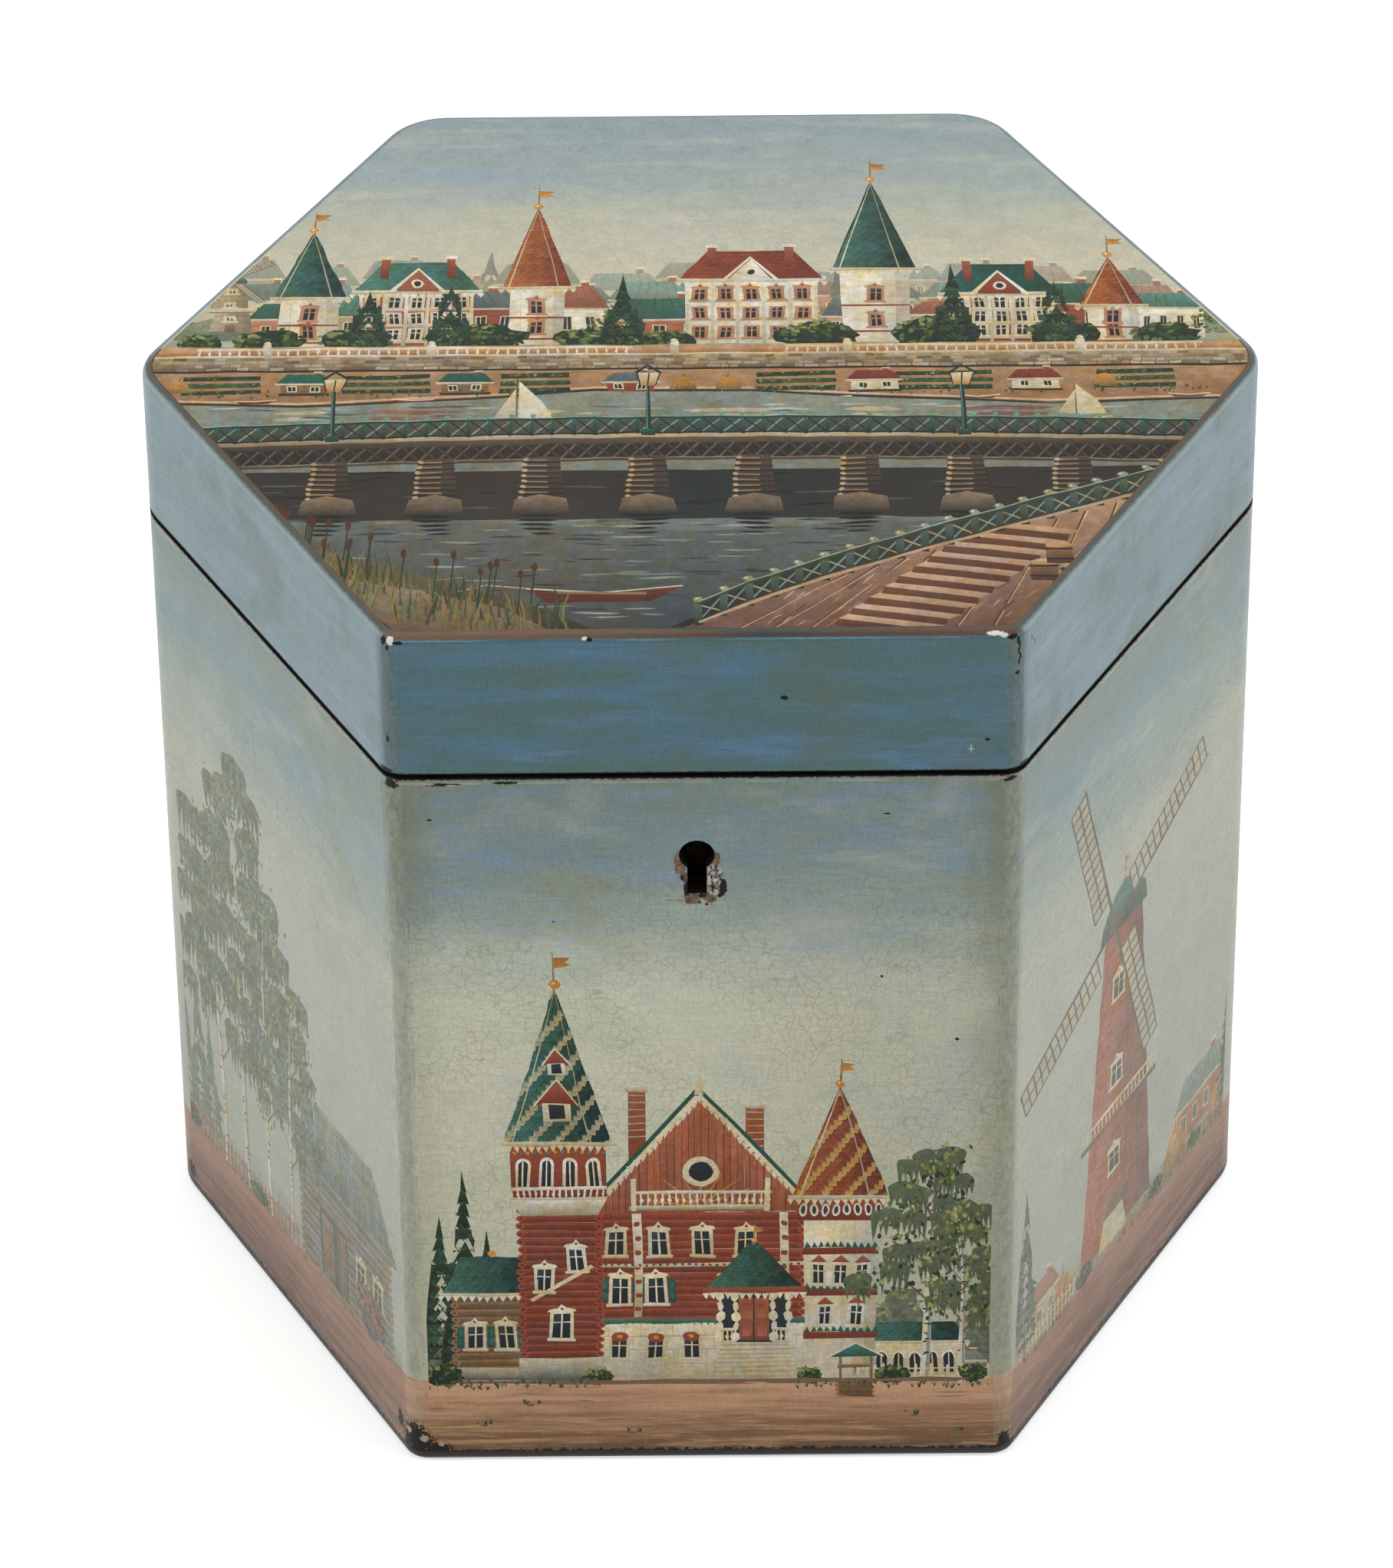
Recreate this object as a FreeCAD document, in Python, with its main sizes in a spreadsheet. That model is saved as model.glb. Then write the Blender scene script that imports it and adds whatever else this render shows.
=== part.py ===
import FreeCAD, Part
import os
import re
import Sketcher

# Six-sided lacquered papier-mache box with a hinged lid and a small link-plate lock.
# Millimetres. The origin is the centre of the base, +Z is up, and the front face with the
# keyhole looks to -Y. The hinge runs along X at the back.

SIZES = {
    # The outside of the closed box; the widths are between corners before they are rounded
    "front_width": 70,
    "middle_width": 131,
    "overall_depth": 112,
    "overall_height": 118,
    "front_corner_radius": 3,
    "corner_radius": 8,
    "lid_height": 18.6,
    "rim_gap": 0.6,
    # Body shell
    "wall_thickness": 3.2,
    "inner_corner_radius": 1,
    "glue_line": 0.05,
    "base_flange": 1.4,
    "base_plug": 2.2,
    "base_edge_radius": 1,
    "lining_thickness": 1.5,
    "lip_height": 2.2,
    "lip_chamfer": 0.5,
    # Lid shell
    "lip_clearance": 0.35,
    "top_board": 3,
    "top_plug": 1.6,
    "top_edge_radius": 1,
    # Hinge
    "hinge_inset": 1.5,
    "hinge_length": 50,
    "leaf_thickness": 0.5,
    "leaf_depth": 8,
    "leaf_clearance": 0.05,
    "pin_radius": 0.55,
    "pin_clearance": 0.05,
    "knuckle_gap": 0.2,
    "barrel_clearance": 0.15,
    "nail_side": 0.7,
    "nail_clearance": 0.05,
    "nail_cover": 0.5,
    "bevel_angle": 52,
    # Keyhole and key pin
    "key_offset": -0.8,
    "key_drop": 10.7,
    "keyhole_radius": 2,
    "keyhole_slot_width": 2.2,
    "keyhole_slot_reach": 5.3,
    "key_pin_radius": 0.9,
    "key_pin_chamfer": 0.25,
    "key_pin_setback": 1.7,
    "rivet_clearance": 0.02,
    # Lock, measured from its centre line, down from the rim and in from the wall
    "block_width": 40,
    "block_height": 26,
    "block_thickness": 6,
    "block_clearance": 0.05,
    "plate_width": 36,
    "plate_height": 24,
    "plate_thickness": 0.9,
    "plate_corner": 1,
    "case_width": 30,
    "case_height": 19,
    "case_setback": 0.2,
    "case_sheet": 0.7,
    "case_corner": 1.5,
    # Bolt
    "bolt_setback": 2,
    "bolt_thickness": 1.8,
    "bolt_height": 7,
    "bolt_clearance": 0.1,
    "bolt_travel": 3.6,
    "bolt_end_gap": 0.2,
    "nose_height": 1.4,
    "nose_gap": 0.6,
    "talon_width": 5.4,
    "talon_depth": 2.4,
    "stump_side": 1.6,
    "stump_collar": 0.5,
    "stump_gap": 0.3,
    "pillar_inset": 2.5,
    # Detent spring
    "spring_thickness": 0.35,
    "spring_width": 1.4,
    "spring_leg": 6,
    "spring_foot": 0.4,
    "detent_end": 1,
    "detent_notch": 0.6,
    "detent_clearance": 0.15,
    "detent_base": 0.9,
    "detent_drop": 1.9,
    # Links and their plate
    "link_spacing": 14,
    "link_thickness": 1.2,
    "link_width": 3.2,
    "link_eye_margin": 0.3,
    "link_leg": 0.5,
    "link_foot": 1.2,
    "link_clearance": 0.4,
    "strike_block_width": 38,
    "strike_block_height": 10,
    "strike_block_thickness": 6,
    "strike_width": 32,
    "strike_depth": 5,
    "strike_thickness": 0.8,
    # Screws
    "screw_radius": 0.55,
    "screw_head_radius": 1.1,
    "countersink_angle": 45,
    "screw_length": 4.6,
    "screw_edge": 1.7,
    "screw_drop": 3.5,
    "strike_screw_edge": 3.5,
    # One overrun serves all cuts
    "overrun": 1,
}

# Two places nearer than this are one place
CLOSE = 1e-6
KNUCKLES = 5
NAIL_SHARES = (-0.4, -0.15, 0.15, 0.4)

# Heights and depths that follow from the sizes
RIM = "(overall_height - lid_height - rim_gap)"
LID_RIM = "(overall_height - lid_height)"
HINGE_Y = "(overall_depth / 2 - hinge_inset)"
HINGE_Z = "(overall_height - lid_height - rim_gap / 2)"
BARREL_RADIUS = "(pin_radius + pin_clearance + leaf_thickness)"
LINING_INSET = "(wall_thickness + glue_line)"
WALL_FACE = "(overall_depth / 2 - wall_thickness)"
LID_WALL = f"({LINING_INSET} - lip_clearance)"
LID_FACE = f"(overall_depth / 2 - {LID_WALL})"
TOP_SEAT = "(overall_height - top_board)"
# The walls lean out from the front to the widest corners
LEAN = "((middle_width - front_width) / overall_depth)"
SLANT = f"sqrt(1 + {LEAN} * {LEAN})"

doc = FreeCAD.newDocument("lacquer_box")
sheet = doc.addObject("Spreadsheet::Sheet", "sizes")
for row, (alias, number) in enumerate(SIZES.items(), start=1):
    sheet.set(f"A{row}", alias)
    sheet.set(f"B{row}", str(number))
    sheet.setAlias(f"B{row}", alias)
doc.recompute()

ALIAS = re.compile(r"\b(" + "|".join(SIZES) + r")\b")
subparts = []


def formula(text):
    """Write a formula of size names the way the document reads it."""
    return ALIAS.sub(r"sizes.\1", text)


def value(text):
    """Work a formula of size names out to a number."""
    return float(sheet.evalExpression(formula(text)))


def bind(thing, prop, text):
    thing.setExpression(prop, formula(text))


def new_body(label):
    body = doc.addObject("PartDesign::Body", label)
    body.Label = label
    body.AllowCompound = True
    subparts.append(body)
    return body


def new_sketch(body, name, role, offset):
    """Start a sketch on an origin plane, moved along the plane's normal by offset."""
    sketch = body.newObject("Sketcher::SketchObject", name)
    plane = next(f for f in body.Origin.OriginFeatures if f.Role == role)
    sketch.AttachmentSupport = [(plane, "")]
    sketch.MapMode = "FlatFace"
    bind(sketch, "AttachmentOffset.Base.z", offset)
    return sketch


def level_sketch(body, name, height):
    """A sketch looking down: X and Y, at a height."""
    return new_sketch(body, name, "XY_Plane", height)


def front_sketch(body, name, distance):
    """A sketch seen from the front: X and Z, at a distance in front of the middle."""
    return new_sketch(body, name, "XZ_Plane", distance)


def side_sketch(body, name):
    """A sketch seen from the side: Y and Z, in the middle plane."""
    return new_sketch(body, name, "YZ_Plane", "0")


def hold(sketch, index, point, across, up):
    """Tie a point of the sketch to its formulas, measured from the origin."""
    for kind, text in (("DistanceX", across), ("DistanceY", up)):
        number = sketch.addConstraint(Sketcher.Constraint(kind, -1, 1, index, point, value(text)))
        bind(sketch, f"Constraints[{number}]", text)


def outline(sketch, corners):
    """Draw a closed outline of straight lines through corners given as formulas."""
    places = [FreeCAD.Vector(value(across), value(up), 0) for across, up in corners]
    first = sketch.GeometryCount
    count = len(places)
    for i in range(count):
        sketch.addGeometry(Part.LineSegment(places[i], places[(i + 1) % count]))
    for i in range(count):
        following = first + (i + 1) % count
        sketch.addConstraint(Sketcher.Constraint("Coincident", first + i, 2, following, 1))
    for i, (across, up) in enumerate(corners):
        hold(sketch, first + i, 1, across, up)
    return sketch


def rectangle(sketch, left, right, low, high):
    return outline(sketch, [(left, low), (right, low), (right, high), (left, high)])


def circle(sketch, across, up, radius):
    centre = FreeCAD.Vector(value(across), value(up), 0)
    axis = FreeCAD.Vector(0, 0, 1)
    index = sketch.addGeometry(Part.Circle(centre, axis, value(radius)))
    number = sketch.addConstraint(Sketcher.Constraint("Radius", index, value(radius)))
    bind(sketch, f"Constraints[{number}]", radius)
    hold(sketch, index, 3, across, up)
    return sketch


def hexagon(sketch, inset):
    """The outline of the box, moved in from the outer faces by an inset."""
    near = f"(front_width / 2 - {inset} * ({SLANT} - {LEAN}))"
    wide = f"(middle_width / 2 - {inset} * {SLANT})"
    deep = f"(overall_depth / 2 - {inset})"
    corners = [(near, f"-{deep}"), (wide, "0"), (near, deep)]
    corners += [(f"-{near}", deep), (f"-{wide}", "0"), (f"-{near}", f"-{deep}")]
    return outline(sketch, corners)


def feature(kind, body, name, sketch, length, back, both):
    made = body.newObject(kind, name)
    made.Profile = sketch
    bind(made, "Length", length)
    made.Reversed = back
    if both:
        made.SideType = "Symmetric"
    doc.recompute()
    return made


def pad(body, name, sketch, length, back=False, both=False):
    return feature("PartDesign::Pad", body, name, sketch, length, back, both)


def pocket(body, name, sketch, length, back=False, both=False):
    before = body.Shape.Volume
    made = feature("PartDesign::Pocket", body, name, sketch, length, back, both)
    if not made.Shape.Volume < before:
        raise RuntimeError(f"{body.Label}: {name} cuts nothing")
    return made


def edges_of(body, test):
    """Names of the edges of the finished shape so far that pass a test."""
    return [f"Edge{i}" for i, edge in enumerate(body.Shape.Edges, start=1) if test(edge)]


def dress(kind, body, name, names, prop, size):
    base = body.Tip
    made = body.newObject(kind, name)
    made.Base = (base, names)
    bind(made, prop, size)
    doc.recompute()
    return made


def fillet(body, name, test, radius):
    return dress("PartDesign::Fillet", body, name, edges_of(body, test), "Radius", radius)


def chamfer(body, name, test, size):
    return dress("PartDesign::Chamfer", body, name, edges_of(body, test), "Size", size)


def upright(low, high):
    """A test for upright edges that lie between two heights."""
    bottom, top = value(low), value(high)

    def test(edge):
        box = edge.BoundBox
        level = box.XLength + box.YLength < CLOSE
        return level and box.ZMin > bottom - CLOSE and box.ZMax < top + CLOSE
    return test


def round_corners(body, low, high):
    """Round a blank's six upright corners, the two at the front tighter than the rest."""
    found = upright(low, high)
    fillet(body, "front_corners", lambda edge: found(edge) and edge.BoundBox.YMax < -CLOSE,
           "front_corner_radius")
    fillet(body, "corners", lambda edge: found(edge) and edge.BoundBox.YMin > -CLOSE,
           "corner_radius")


def level_at(height):
    """A test for edges that lie level at a height."""
    z = value(height)
    return lambda edge: abs(edge.BoundBox.ZMin - z) + abs(edge.BoundBox.ZMax - z) < CLOSE


def hollow(body, name, sketch, length, radius):
    """Cut a six-sided hollow and round its new corners."""
    known = {tuple(round(c, 4) for c in e.CenterOfMass) for e in body.Shape.Edges}
    pocket(body, name, sketch, length)
    box = body.Shape.BoundBox

    def test(edge):
        fresh = tuple(round(c, 4) for c in edge.CenterOfMass) not in known
        across = edge.BoundBox.XLength + edge.BoundBox.YLength
        return fresh and across < CLOSE and edge.BoundBox.ZLength > box.ZLength / 2
    return fillet(body, f"{name}_corners", test, radius)


# Places on the lock are given across from its centre line, down from the rim and in from
# the inner face of the front wall


def lock_x(across):
    return f"(key_offset + ({across}))"


def lock_z(down):
    return f"({RIM} - ({down}))"


def lock_plane(inward):
    """Distance of a front sketch whose plane lies inward from the wall's inner face."""
    return f"({WALL_FACE} - ({inward}))"


def lock_y(inward):
    return f"(({inward}) - {WALL_FACE})"


PLATE_IN = "(block_thickness - plate_thickness)"
BOLT_TOP = "(plate_thickness + bolt_clearance)"
BOLT_FOOT = f"({BOLT_TOP} + bolt_height)"
NOSE_MIDDLE = f"({BOLT_TOP} + nose_gap + nose_height)"


def keyhole(body, inward, length):
    """Cut the round and the slot of the keyhole into a body, from a plane inwards."""
    place = lock_plane(inward)
    ring = front_sketch(body, "keyhole_round_outline", place)
    circle(ring, lock_x("0"), lock_z("key_drop"), "keyhole_radius")
    pocket(body, "keyhole_round", ring, length)
    slot = front_sketch(body, "keyhole_slot_outline", place)
    half = "keyhole_slot_width / 2"
    low = lock_z("key_drop + keyhole_slot_reach")
    rectangle(slot, lock_x(f"-{half}"), lock_x(half), low, lock_z("key_drop"))
    pocket(body, "keyhole_slot", slot, length)


# Hinge places along X are shares of its length


def nail_squares(body, plane_distance, height, slack):
    """The square outlines of one leaf's nails, with slack all round."""
    sketch = front_sketch(body, "nail_outline", plane_distance)
    half = f"(nail_side / 2 + {slack})"
    for share in NAIL_SHARES:
        middle = f"{share} * hinge_length"
        rectangle(sketch, f"({middle} - {half})", f"({middle} + {half})",
                  f"({height} - {half})", f"({height} + {half})")
    return sketch


def knuckle_edges(index):
    """Both ends of one knuckle's place along the barrel."""
    start = f"(({index} / {KNUCKLES} - 1 / 2) * hinge_length)"
    stop = f"(({index + 1} / {KNUCKLES} - 1 / 2) * hinge_length)"
    return start, stop


BODY_NAIL_Z = f"({RIM} - leaf_depth / 2)"
LID_NAIL_Z = f"({LID_RIM} + leaf_depth / 2)"


def hinge_seat(body, rim, side):
    """Cut the barrel groove, the leaf's mortise and the bevel into a back wall.

    side is -1 for the body, whose seat goes down from its rim, and 1 for the lid.
    """
    sign = "-" if side < 0 else ""
    groove = side_sketch(body, "barrel_groove_outline")
    circle(groove, HINGE_Y, HINGE_Z, f"({BARREL_RADIUS} + barrel_clearance)")
    pocket(body, "barrel_groove", groove, "(hinge_length + 2 * knuckle_gap)", both=True)
    mortise = level_sketch(body, "leaf_mortise_outline", rim)
    half = "(hinge_length / 2 + leaf_clearance)"
    slack = "(leaf_thickness / 2 + leaf_clearance)"
    rectangle(mortise, f"-{half}", half, f"({HINGE_Y} - {slack})", f"({HINGE_Y} + {slack})")
    pocket(body, "leaf_mortise", mortise, "(leaf_depth + leaf_clearance)", back=side > 0)
    bevel = side_sketch(body, "back_bevel_outline")
    run = "(hinge_inset + overrun)"
    rise = f"({sign}{run} * tan(bevel_angle))"
    corners = [(HINGE_Y, HINGE_Z), (f"({HINGE_Y} + {run})", HINGE_Z)]
    corners += [(f"({HINGE_Y} + {run})", f"({HINGE_Z} + {rise})")]
    outline(bevel, corners)
    pocket(body, "back_bevel", bevel, "middle_width", both=True)


def nail_seats(body, height, length, distance):
    """Blind holes for the nails, drilled from the inside."""
    holes = nail_squares(body, distance, height, "nail_clearance")
    pocket(body, "nail_seats", holes, length)


def body_wall():
    body = new_body("body_wall")
    blank = hexagon(level_sketch(body, "outer_outline", "base_flange"), "0")
    pad(body, "blank", blank, f"({RIM} - base_flange)")
    round_corners(body, "base_flange", RIM)
    inner = hexagon(level_sketch(body, "inner_outline", RIM), "wall_thickness")
    hollow(body, "hollow", inner, "overall_height", "inner_corner_radius")
    keyhole(body, "(0 - wall_thickness)", "(wall_thickness + overrun)")
    hinge_seat(body, RIM, -1)
    length = "(wall_thickness - nail_cover + overrun)"
    nail_seats(body, BODY_NAIL_Z, length, f"(overrun - {WALL_FACE})")


def base_board():
    body = new_body("base_board")
    pad(body, "flange", hexagon(level_sketch(body, "flange_outline", "0"), "0"), "base_flange")
    round_corners(body, "0", "base_flange")
    fillet(body, "lower_edge", level_at("0"), "base_edge_radius")
    plug = hexagon(level_sketch(body, "plug_outline", "base_flange"), LINING_INSET)
    pad(body, "plug", plug, "base_plug")
    seat = upright("base_flange", "(base_flange + base_plug)")
    fillet(body, "plug_corners", seat, "inner_corner_radius")


def inner_lining():
    body = new_body("inner_lining")
    foot = "(base_flange + base_plug)"
    crest = f"({RIM} + lip_height)"
    blank = hexagon(level_sketch(body, "outer_outline", foot), LINING_INSET)
    pad(body, "blank", blank, f"({crest} - {foot})")
    fillet(body, "outer_corners", upright(foot, crest), "inner_corner_radius")
    chamfer(body, "lip_edge", level_at(crest), "lip_chamfer")
    inner = hexagon(level_sketch(body, "inner_outline", crest),
                    f"({LINING_INSET} + lining_thickness)")
    hollow(body, "hollow", inner, "overall_height", "inner_corner_radius")
    notch = front_sketch(body, "lock_notch_outline", "(overall_depth / 2)")
    half = "(block_width / 2 + block_clearance)"
    low = lock_z("block_height + block_clearance")
    rectangle(notch, lock_x(f"-{half}"), lock_x(half), low, f"({crest} + overrun)")
    pocket(body, "lock_notch", notch, f"({LINING_INSET} + lining_thickness + overrun)")


HEAD_DEPTH = "((screw_head_radius - screw_radius) / tan(countersink_angle))"


def screw_group(label, start, shank, head):
    """Countersunk screws: plain shanks and tapered heads from two sketches of circles."""
    body = new_body(label)
    pad(body, "shanks", start(body, "shank_outline", "screw_radius"), "screw_length", shank)
    heads = start(body, "head_outline", "screw_head_radius")
    made = pad(body, "heads", heads, HEAD_DEPTH, head)
    bind(made, "TaperAngle", "(0 - countersink_angle)")
    doc.recompute()
    return body


def lock_screw_circles(body, name, radius):
    sketch = front_sketch(body, name, lock_plane("block_thickness"))
    across = "(plate_width / 2 - screw_edge)"
    for side in ("-", ""):
        for down in ("screw_drop", "(plate_height - screw_drop)"):
            circle(sketch, lock_x(f"{side}{across}"), lock_z(down), radius)
    return sketch


def strike_screw_circles(body, name, radius):
    sketch = level_sketch(body, name, LID_RIM)
    across = "(strike_width / 2 - strike_screw_edge)"
    for side in ("-", ""):
        circle(sketch, lock_x(f"{side}{across}"), STRIKE_MIDDLE, radius)
    return sketch


BOLT_MIDDLE = "(bolt_setback + bolt_thickness / 2)"
STRIKE_MIDDLE = lock_y(BOLT_MIDDLE)


def countersinks(body, start, length, back):
    """Clearance holes and countersinks for a group of screws."""
    holes = start(body, "screw_holes", "(screw_radius + block_clearance)")
    pocket(body, "screw_holes_cut", holes, length, back)
    heads = start(body, "countersink_outline", "(screw_head_radius + block_clearance)")
    made = pocket(body, "countersinks", heads, HEAD_DEPTH, back)
    bind(made, "TaperAngle", "(0 - countersink_angle)")
    doc.recompute()


def lock_block():
    body = new_body("lock_block")
    half = "(block_width / 2)"
    blank = front_sketch(body, "block_outline", lock_plane("glue_line"))
    rectangle(blank, lock_x(f"-{half}"), lock_x(half), lock_z("block_height"), lock_z("0"))
    pad(body, "block", blank, "(block_thickness - glue_line)", back=True)
    above = lock_z("0 - overrun")
    cuts = (("case_window", "(case_width / 2 + block_clearance)",
             "(case_height + block_clearance)", "0"),
            ("selvedge_recess", "(plate_width / 2 + block_clearance)",
             "(plate_thickness + block_clearance)", "0"),
            ("plate_recess", "(plate_width / 2 + block_clearance)",
             "(plate_height + block_clearance)", f"({PLATE_IN} - block_clearance)"))
    for name, side, down, inward in cuts:
        sketch = front_sketch(body, f"{name}_outline", lock_plane(inward))
        rectangle(sketch, lock_x(f"-{side}"), lock_x(side), lock_z(down), above)
        pocket(body, name, sketch, "(block_thickness + overrun)")
    holes = lock_screw_circles(body, "screw_holes", "(screw_radius + block_clearance)")
    pocket(body, "screw_holes_cut", holes, "(screw_length + block_clearance)", back=True)


def lock_backplate():
    body = new_body("lock_backplate")
    half = "(plate_width / 2)"
    plate = front_sketch(body, "plate_outline", lock_plane(PLATE_IN))
    rectangle(plate, lock_x(f"-{half}"), lock_x(half), lock_z("plate_height"), lock_z("0"))
    pad(body, "plate", plate, "plate_thickness", back=True)
    low = lock_z("plate_height")

    def foot_corner(edge):
        box = edge.BoundBox
        return box.XLength + box.ZLength < CLOSE and abs(box.ZMin - value(low)) < CLOSE
    fillet(body, "plate_corners", foot_corner, "plate_corner")
    selvedge = front_sketch(body, "selvedge_outline", lock_plane("glue_line"))
    rectangle(selvedge, lock_x(f"-{half}"), lock_x(half), lock_z("plate_thickness"), lock_z("0"))
    pad(body, "selvedge", selvedge, "(block_thickness - glue_line)", back=True)
    slots = level_sketch(body, "link_slot_outline", RIM)
    reach = "(link_width / 2 + link_clearance)"
    room = "(link_thickness / 2 + link_clearance)"
    for side in ("-", ""):
        middle = f"{side}link_spacing / 2"
        rectangle(slots, lock_x(f"{middle} - {room}"), lock_x(f"{middle} + {room}"),
                  lock_y(f"{BOLT_MIDDLE} - {reach}"), lock_y(f"{BOLT_MIDDLE} + {reach}"))
    pocket(body, "link_slots", slots, "(plate_thickness + overrun)")
    countersinks(body, lock_screw_circles, "(plate_thickness + overrun)", True)
    holes = stump_squares(body, "stump_holes", lock_plane("block_thickness"), STUMP_PLACES,
                          "rivet_clearance")
    circle(holes, lock_x("0"), lock_z("key_drop"), "(key_pin_radius + rivet_clearance)")
    pocket(body, "stump_holes_cut", holes, "(plate_thickness + overrun)", back=True)


BOLT_LEFT = "(bolt_end_gap + case_sheet - case_width / 2)"
BOLT_RIGHT = "(case_width / 2 - case_sheet - bolt_end_gap - bolt_travel)"
# Two notches, one throw apart, hold the bolt open and shut
FAR_NOTCH = f"({BOLT_LEFT} + detent_end)"
NEAR_NOTCH = f"({FAR_NOTCH} + bolt_travel)"
# The bolt rides on two stumps, a third keeps it level in a slot, and two pillars carry the case
STUMP_ACROSS = f"(0 - {NEAR_NOTCH} - detent_base - stump_gap - stump_side / 2)"
STUMP_DOWN = f"({BOLT_FOOT} + stump_side / 2 + bolt_clearance / 2)"
SLOT_DOWN = f"({BOLT_TOP} + bolt_height / 2 - talon_depth / 2 + bolt_clearance)"
GUIDE_PLACES = ((f"-{STUMP_ACROSS}", STUMP_DOWN), (STUMP_ACROSS, STUMP_DOWN), ("0", SLOT_DOWN))
PILLAR_ACROSS = "(case_width / 2 - pillar_inset)"
PILLAR_DOWN = "(case_height - pillar_inset)"
STUMP_PLACES = GUIDE_PLACES + ((f"-{PILLAR_ACROSS}", PILLAR_DOWN), (PILLAR_ACROSS, PILLAR_DOWN))


def stump_squares(body, name, plane, places, slack):
    sketch = front_sketch(body, name, plane)
    half = f"(stump_side / 2 + {slack})"
    for across, down in places:
        rectangle(sketch, lock_x(f"{across} - {half}"), lock_x(f"{across} + {half}"),
                  lock_z(f"{down} + {half}"), lock_z(f"{down} - {half}"))
    return sketch


def lock_case():
    body = new_body("lock_case")
    half = "(case_width / 2)"
    top = lock_z("(plate_thickness + rivet_clearance)")
    blank = front_sketch(body, "case_outline", lock_plane("case_setback"))
    rectangle(blank, lock_x(f"-{half}"), lock_x(half), lock_z("case_height"), top)
    pad(body, "blank", blank, f"({PLATE_IN} - case_setback)", back=True)

    def foot_corner(edge):
        box = edge.BoundBox
        low = abs(box.ZMin - value(lock_z("case_height"))) < CLOSE
        return box.XLength + box.ZLength < CLOSE and low
    fillet(body, "case_corners", foot_corner, "case_corner")
    inner = "(case_width / 2 - case_sheet)"
    inside = front_sketch(body, "inside_outline", lock_plane("(case_setback + case_sheet)"))
    rectangle(inside, lock_x(f"-{inner}"), lock_x(inner), lock_z("(case_height - case_sheet)"),
              lock_z("0"))
    pocket(body, "inside", inside, "block_thickness")
    keyhole(body, "0", "(case_setback + case_sheet + overrun)")
    holes = stump_squares(body, "stump_holes", lock_plane("0"), STUMP_PLACES, "rivet_clearance")
    pocket(body, "stump_holes_cut", holes, "(case_setback + case_sheet + overrun)")


def lock_stumps():
    body = new_body("lock_stumps")
    shanks = stump_squares(body, "shank_outline", lock_plane("case_setback"), STUMP_PLACES, "0")
    pad(body, "shanks", shanks, "(block_thickness - case_setback)", back=True)
    behind = "(bolt_setback + bolt_thickness + bolt_clearance)"
    collars = stump_squares(body, "collar_outline", lock_plane(behind), GUIDE_PLACES,
                            "stump_collar")
    pad(body, "collars", collars, f"({PLATE_IN} - {behind})", back=True)


def key_pin():
    body = new_body("key_pin")
    tip = "(key_pin_setback - wall_thickness)"
    ring = front_sketch(body, "pin_outline", lock_plane(tip))
    circle(ring, lock_x("0"), lock_z("key_drop"), "key_pin_radius")
    pad(body, "pin", ring, f"(block_thickness - {tip})", back=True)
    face = -value(lock_plane(tip))

    def tip_edge(edge):
        return abs(edge.BoundBox.YMin - face) + abs(edge.BoundBox.YMax - face) < CLOSE
    chamfer(body, "tip", tip_edge, "key_pin_chamfer")


# The hooked openings clear a link by the nose gap on every side, and a nose is one throw long
OPENING_RIGHT = "(link_thickness / 2 + nose_gap)"
OPENING_LEFT = f"({OPENING_RIGHT} + bolt_travel)"
EYE_HIGH = f"({NOSE_MIDDLE} - nose_height / 2 - link_eye_margin)"
EYE_LOW = f"({NOSE_MIDDLE} + nose_height / 2 + link_eye_margin)"
LINK_LOW = f"({EYE_LOW} + link_foot)"


def bolt_corners():
    """The bolt's outline, anticlockwise from its lower left corner."""
    corners = [(BOLT_LEFT, BOLT_FOOT)]
    for place in (FAR_NOTCH, NEAR_NOTCH):
        corners += [(f"({place} - detent_notch)", BOLT_FOOT),
                    (place, f"({BOLT_FOOT} - detent_notch)"),
                    (f"({place} + detent_notch)", BOLT_FOOT)]
    talon_roof = f"({BOLT_FOOT} - talon_depth)"
    talon_left = "(0 - bolt_travel / 2 - talon_width / 2)"
    talon_right = "(0 - bolt_travel / 2 + talon_width / 2)"
    corners += [(talon_left, BOLT_FOOT), (talon_left, talon_roof),
                (talon_right, talon_roof), (talon_right, BOLT_FOOT),
                (BOLT_RIGHT, BOLT_FOOT), (BOLT_RIGHT, BOLT_TOP)]
    floor = f"({LINK_LOW} + link_clearance)"
    for side in ("", "-"):
        middle = f"{side}link_spacing / 2"
        right = f"({middle} + {OPENING_RIGHT})"
        root = f"({middle} - {OPENING_LEFT})"
        tip = f"({middle} - {OPENING_RIGHT})"
        high = f"({NOSE_MIDDLE} - nose_height / 2)"
        low = f"({NOSE_MIDDLE} + nose_height / 2)"
        corners += [(right, BOLT_TOP), (right, floor), (root, floor), (root, low),
                    (tip, low), (tip, high), (root, high), (root, BOLT_TOP)]
    return corners + [(BOLT_LEFT, BOLT_TOP)]


def lock_bolt():
    body = new_body("lock_bolt")
    profile = front_sketch(body, "bolt_outline", lock_plane("bolt_setback"))
    outline(profile, [(lock_x(across), lock_z(down)) for across, down in bolt_corners()])
    pad(body, "bolt", profile, "bolt_thickness", back=True)
    slot = front_sketch(body, "guide_slot_outline", lock_plane("(bolt_setback - overrun)"))
    side = "(stump_side / 2 + bolt_clearance)"
    rectangle(slot, lock_x(f"0 - bolt_travel - {side}"), lock_x(side),
              lock_z(f"{SLOT_DOWN} + {side}"), lock_z(f"{SLOT_DOWN} - {side}"))
    pocket(body, "guide_slot", slot, "(bolt_thickness + 2 * overrun)")


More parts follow.
